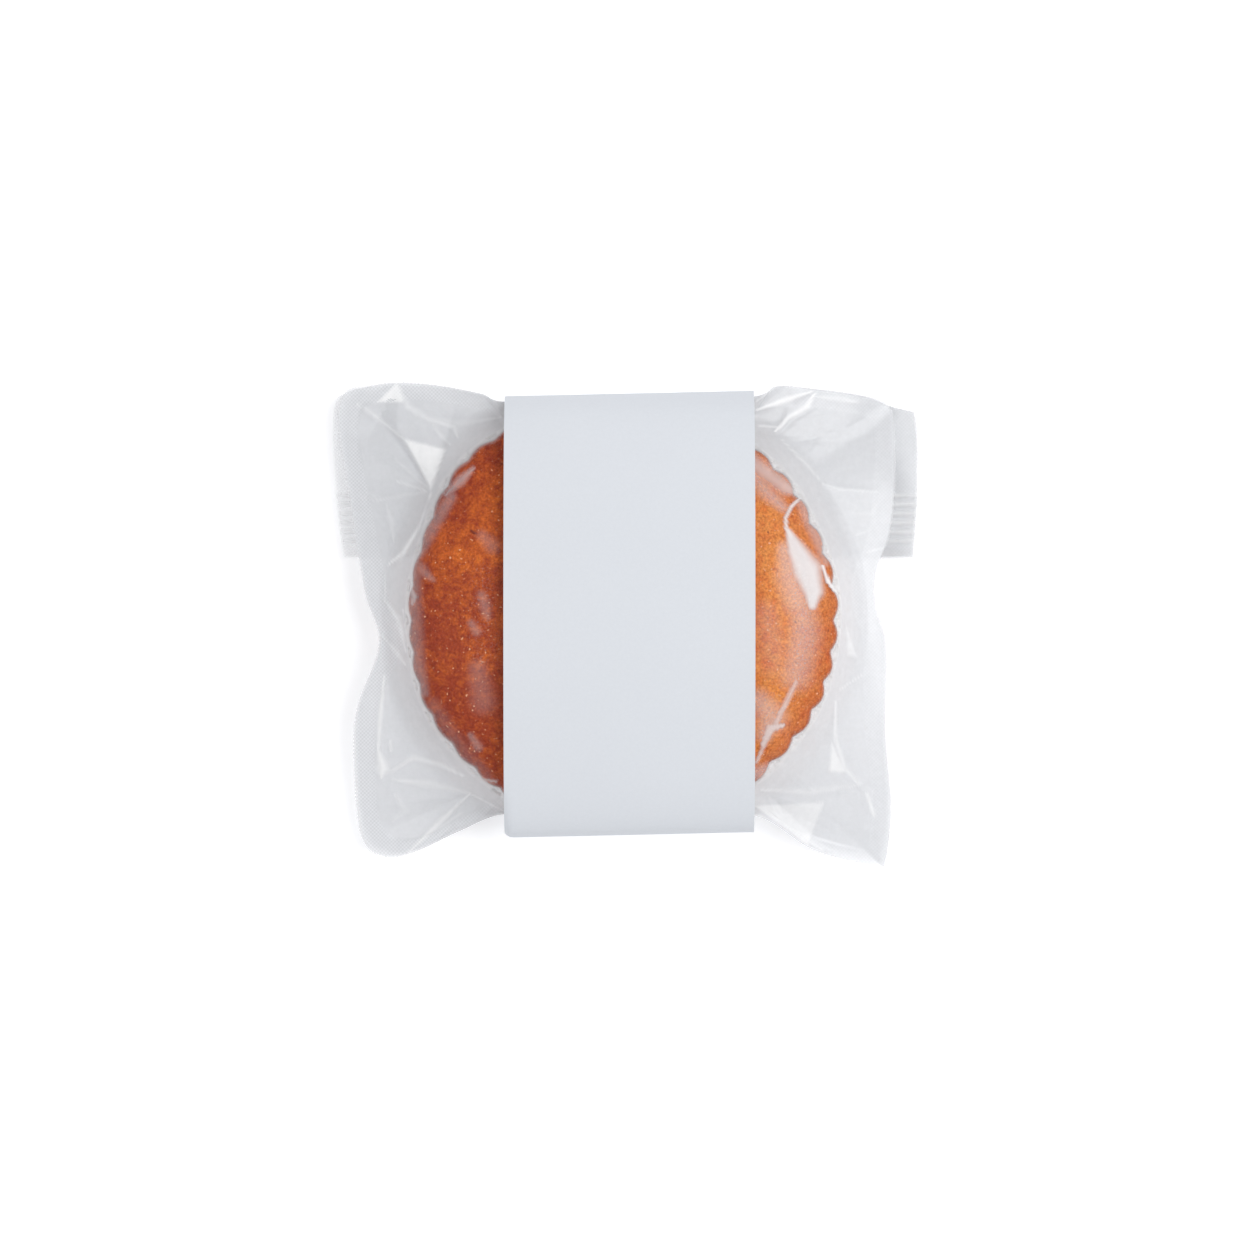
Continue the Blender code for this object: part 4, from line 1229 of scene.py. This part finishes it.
# The lower left corner is a little crushed: how far it is pushed in, and how wide that place is
CORNER_CRUSH = 0.8
CRUSH_WIDTH = 1.4
# The rounds that the paper turns about: y and z of each middle, then its radius
TURNS = [(-30.5, 2.35, 2.0), (33.5, 2.35, 2.0), (39.95, 13.8, 2.5), (-34.45, 15.0, 4.0)]
LOOP_POINTS = 420


def taut_outline(points):
    """The convex line round points in a plane, anticlockwise."""

    def chain(ordered):
        kept = []
        for point in ordered:
            while len(kept) > 1:
                back, last = kept[-2], kept[-1]
                turn = (last[0] - back[0]) * (point[1] - last[1]) - (last[1] - back[1]) * (point[0] - last[0])
                if turn > 0:
                    break
                kept.pop()
            kept.append(point)
        return kept[:-1]

    ordered = sorted(map(tuple, points))
    return np.array(chain(ordered) + chain(ordered[::-1]))


def loop_section():
    points = []
    for y, z, radius in TURNS:
        turn = np.linspace(0, math.tau, 180, endpoint=False)
        points += list(zip(y + radius * np.cos(turn), z + radius * np.sin(turn)))
    radii = np.linspace(-RIM_RADIUS, RIM_RADIUS, 161)
    points += list(zip(CAKE_Y + radii, crown_z(np.abs(radii)) + SLEEVE_CLEARANCE))
    line = taut_outline(points)
    line = np.vstack([line, line[:1]])
    length = np.concatenate([[0.0], np.cumsum(np.linalg.norm(np.diff(line, axis=0), axis=1))])
    print("paper round the pack:", round(length[-1], 1), "mm")
    wanted = np.linspace(0, length[-1], LOOP_POINTS, endpoint=False)
    even = np.stack([np.interp(wanted, length, line[:, axis]) for axis in (0, 1)], 1)
    along = np.roll(even, -1, axis=0) - np.roll(even, 1, axis=0)
    along /= np.linalg.norm(along, axis=1)[:, None]
    return even, np.stack([along[:, 1], -along[:, 0]], 1)


def make_sleeve():
    inner, way_out = loop_section()
    inner_columns = SLEEVE_COLUMNS + 1 - 2 * len(SLEEVE_BORDER)
    middle = np.linspace(sleeve_low.x + SLEEVE_MARGIN, sleeve_high.x - SLEEVE_MARGIN, inner_columns)
    across = np.concatenate([sleeve_low.x + SLEEVE_BORDER, middle, sleeve_high.x - SLEEVE_BORDER[::-1]])
    crushed = CORNER_CRUSH * np.clip(1 - (across - sleeve_low.x) / CRUSH_WIDTH, 0.0, 1.0) ** 2
    layers = []
    for offset in (0.0, PAPER_THICKNESS):
        line = inner + way_out * offset
        x = across[:, None] + 0 * line[:, 0]
        y = line[:, 0] + SLEEVE_SKEW * x + crushed[:, None] * smoothstep(28.0, 33.0, -line[:, 0])
        z = line[:, 1] + 0 * x
        layers.append(np.stack([x, y, z], 2).reshape(-1, 3))
    count = len(layers[0])
    quads = grid_faces(SLEEVE_COLUMNS + 1, LOOP_POINTS, closed_columns=True)
    faces = quads.tolist() + (quads[:, ::-1] + count).tolist()
    last = SLEEVE_COLUMNS * LOOP_POINTS
    for index in range(LOOP_POINTS):
        after = (index + 1) % LOOP_POINTS
        faces.append((index, after, after + count, index + count)[::-1])
        faces.append((last + index, last + after, last + after + count, last + index + count))
    piece = make_piece("paper_sleeve", np.vstack(layers), faces, paper)
    piece.data.set_sharp_from_angle(angle=math.radians(50))
    return piece


sleeve = make_sleeve()
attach(sleeve, "root")
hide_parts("sleeve")

# %% [markdown]
# ## Floor and light
# A plain white floor that glows a little, so that it goes white in the picture, a soft grey surrounding
# and three soft boxes. The large one stands high on the right and leaves the pack's left side in half
# shade. A small one, low on the right like a window, picks out the creases, and a weak one fills the left.


# %% The floor
def make_floor():
    half = 1.5
    mesh = bpy.data.meshes.new("floor")
    corners = [(-half, -half, 0), (half, -half, 0), (half, half, 0), (-half, half, 0)]
    mesh.from_pydata(corners, [], [(0, 1, 2, 3)])
    floor = bpy.data.objects.new("floor", mesh)
    made, _, shader = new_material("white floor")
    shader.inputs["Base Color"].default_value = (0.93, 0.93, 0.94, 1.0)
    shader.inputs["Roughness"].default_value = 0.9
    shader.inputs["Specular IOR Level"].default_value = 0.1
    shader.inputs["Emission Color"].default_value = (1.0, 1.0, 1.0, 1.0)
    shader.inputs["Emission Strength"].default_value = 0.34
    mesh.materials.append(made)
    bpy.context.scene.collection.objects.link(floor)


make_floor()


# %% The lights
def aim(obj, direction, distance):
    """Puts a light this far away in a direction, given as degrees from +X and degrees from straight up."""
    turn, lean = (math.radians(angle) for angle in direction)
    way = Vector((math.sin(lean) * math.cos(turn), math.sin(lean) * math.sin(turn), math.cos(lean)))
    obj.location = way * distance
    obj.rotation_euler = way.to_track_quat("Z", "Y").to_euler()


def add_light(name, direction, distance, size, radiance):
    """A soft box. Its power follows from how bright its face looks."""
    data = bpy.data.lights.new(name, "AREA")
    data.shape = "RECTANGLE"
    data.size, data.size_y = size
    data.energy = radiance * math.pi * size[0] * size[1]
    light = bpy.data.objects.new(name, data)
    aim(light, direction, distance)
    bpy.context.scene.collection.objects.link(light)


add_light("large soft box", (12, 30), 1.2, (0.60, 0.70), 5.0)
add_light("window light", (15, 62), 0.9, (0.30, 0.26), 2.6)
add_light("left fill", (186, 34), 1.2, (0.45, 0.80), 1.7)

world = bpy.data.worlds.new("surrounding")
world.use_nodes = True
world.node_tree.nodes["Background"].inputs["Color"].default_value = (0.97, 0.98, 1.0, 1.0)
world.node_tree.nodes["Background"].inputs["Strength"].default_value = 0.48
bpy.context.scene.world = world
bpy.context.scene.view_settings.view_transform = "Standard"
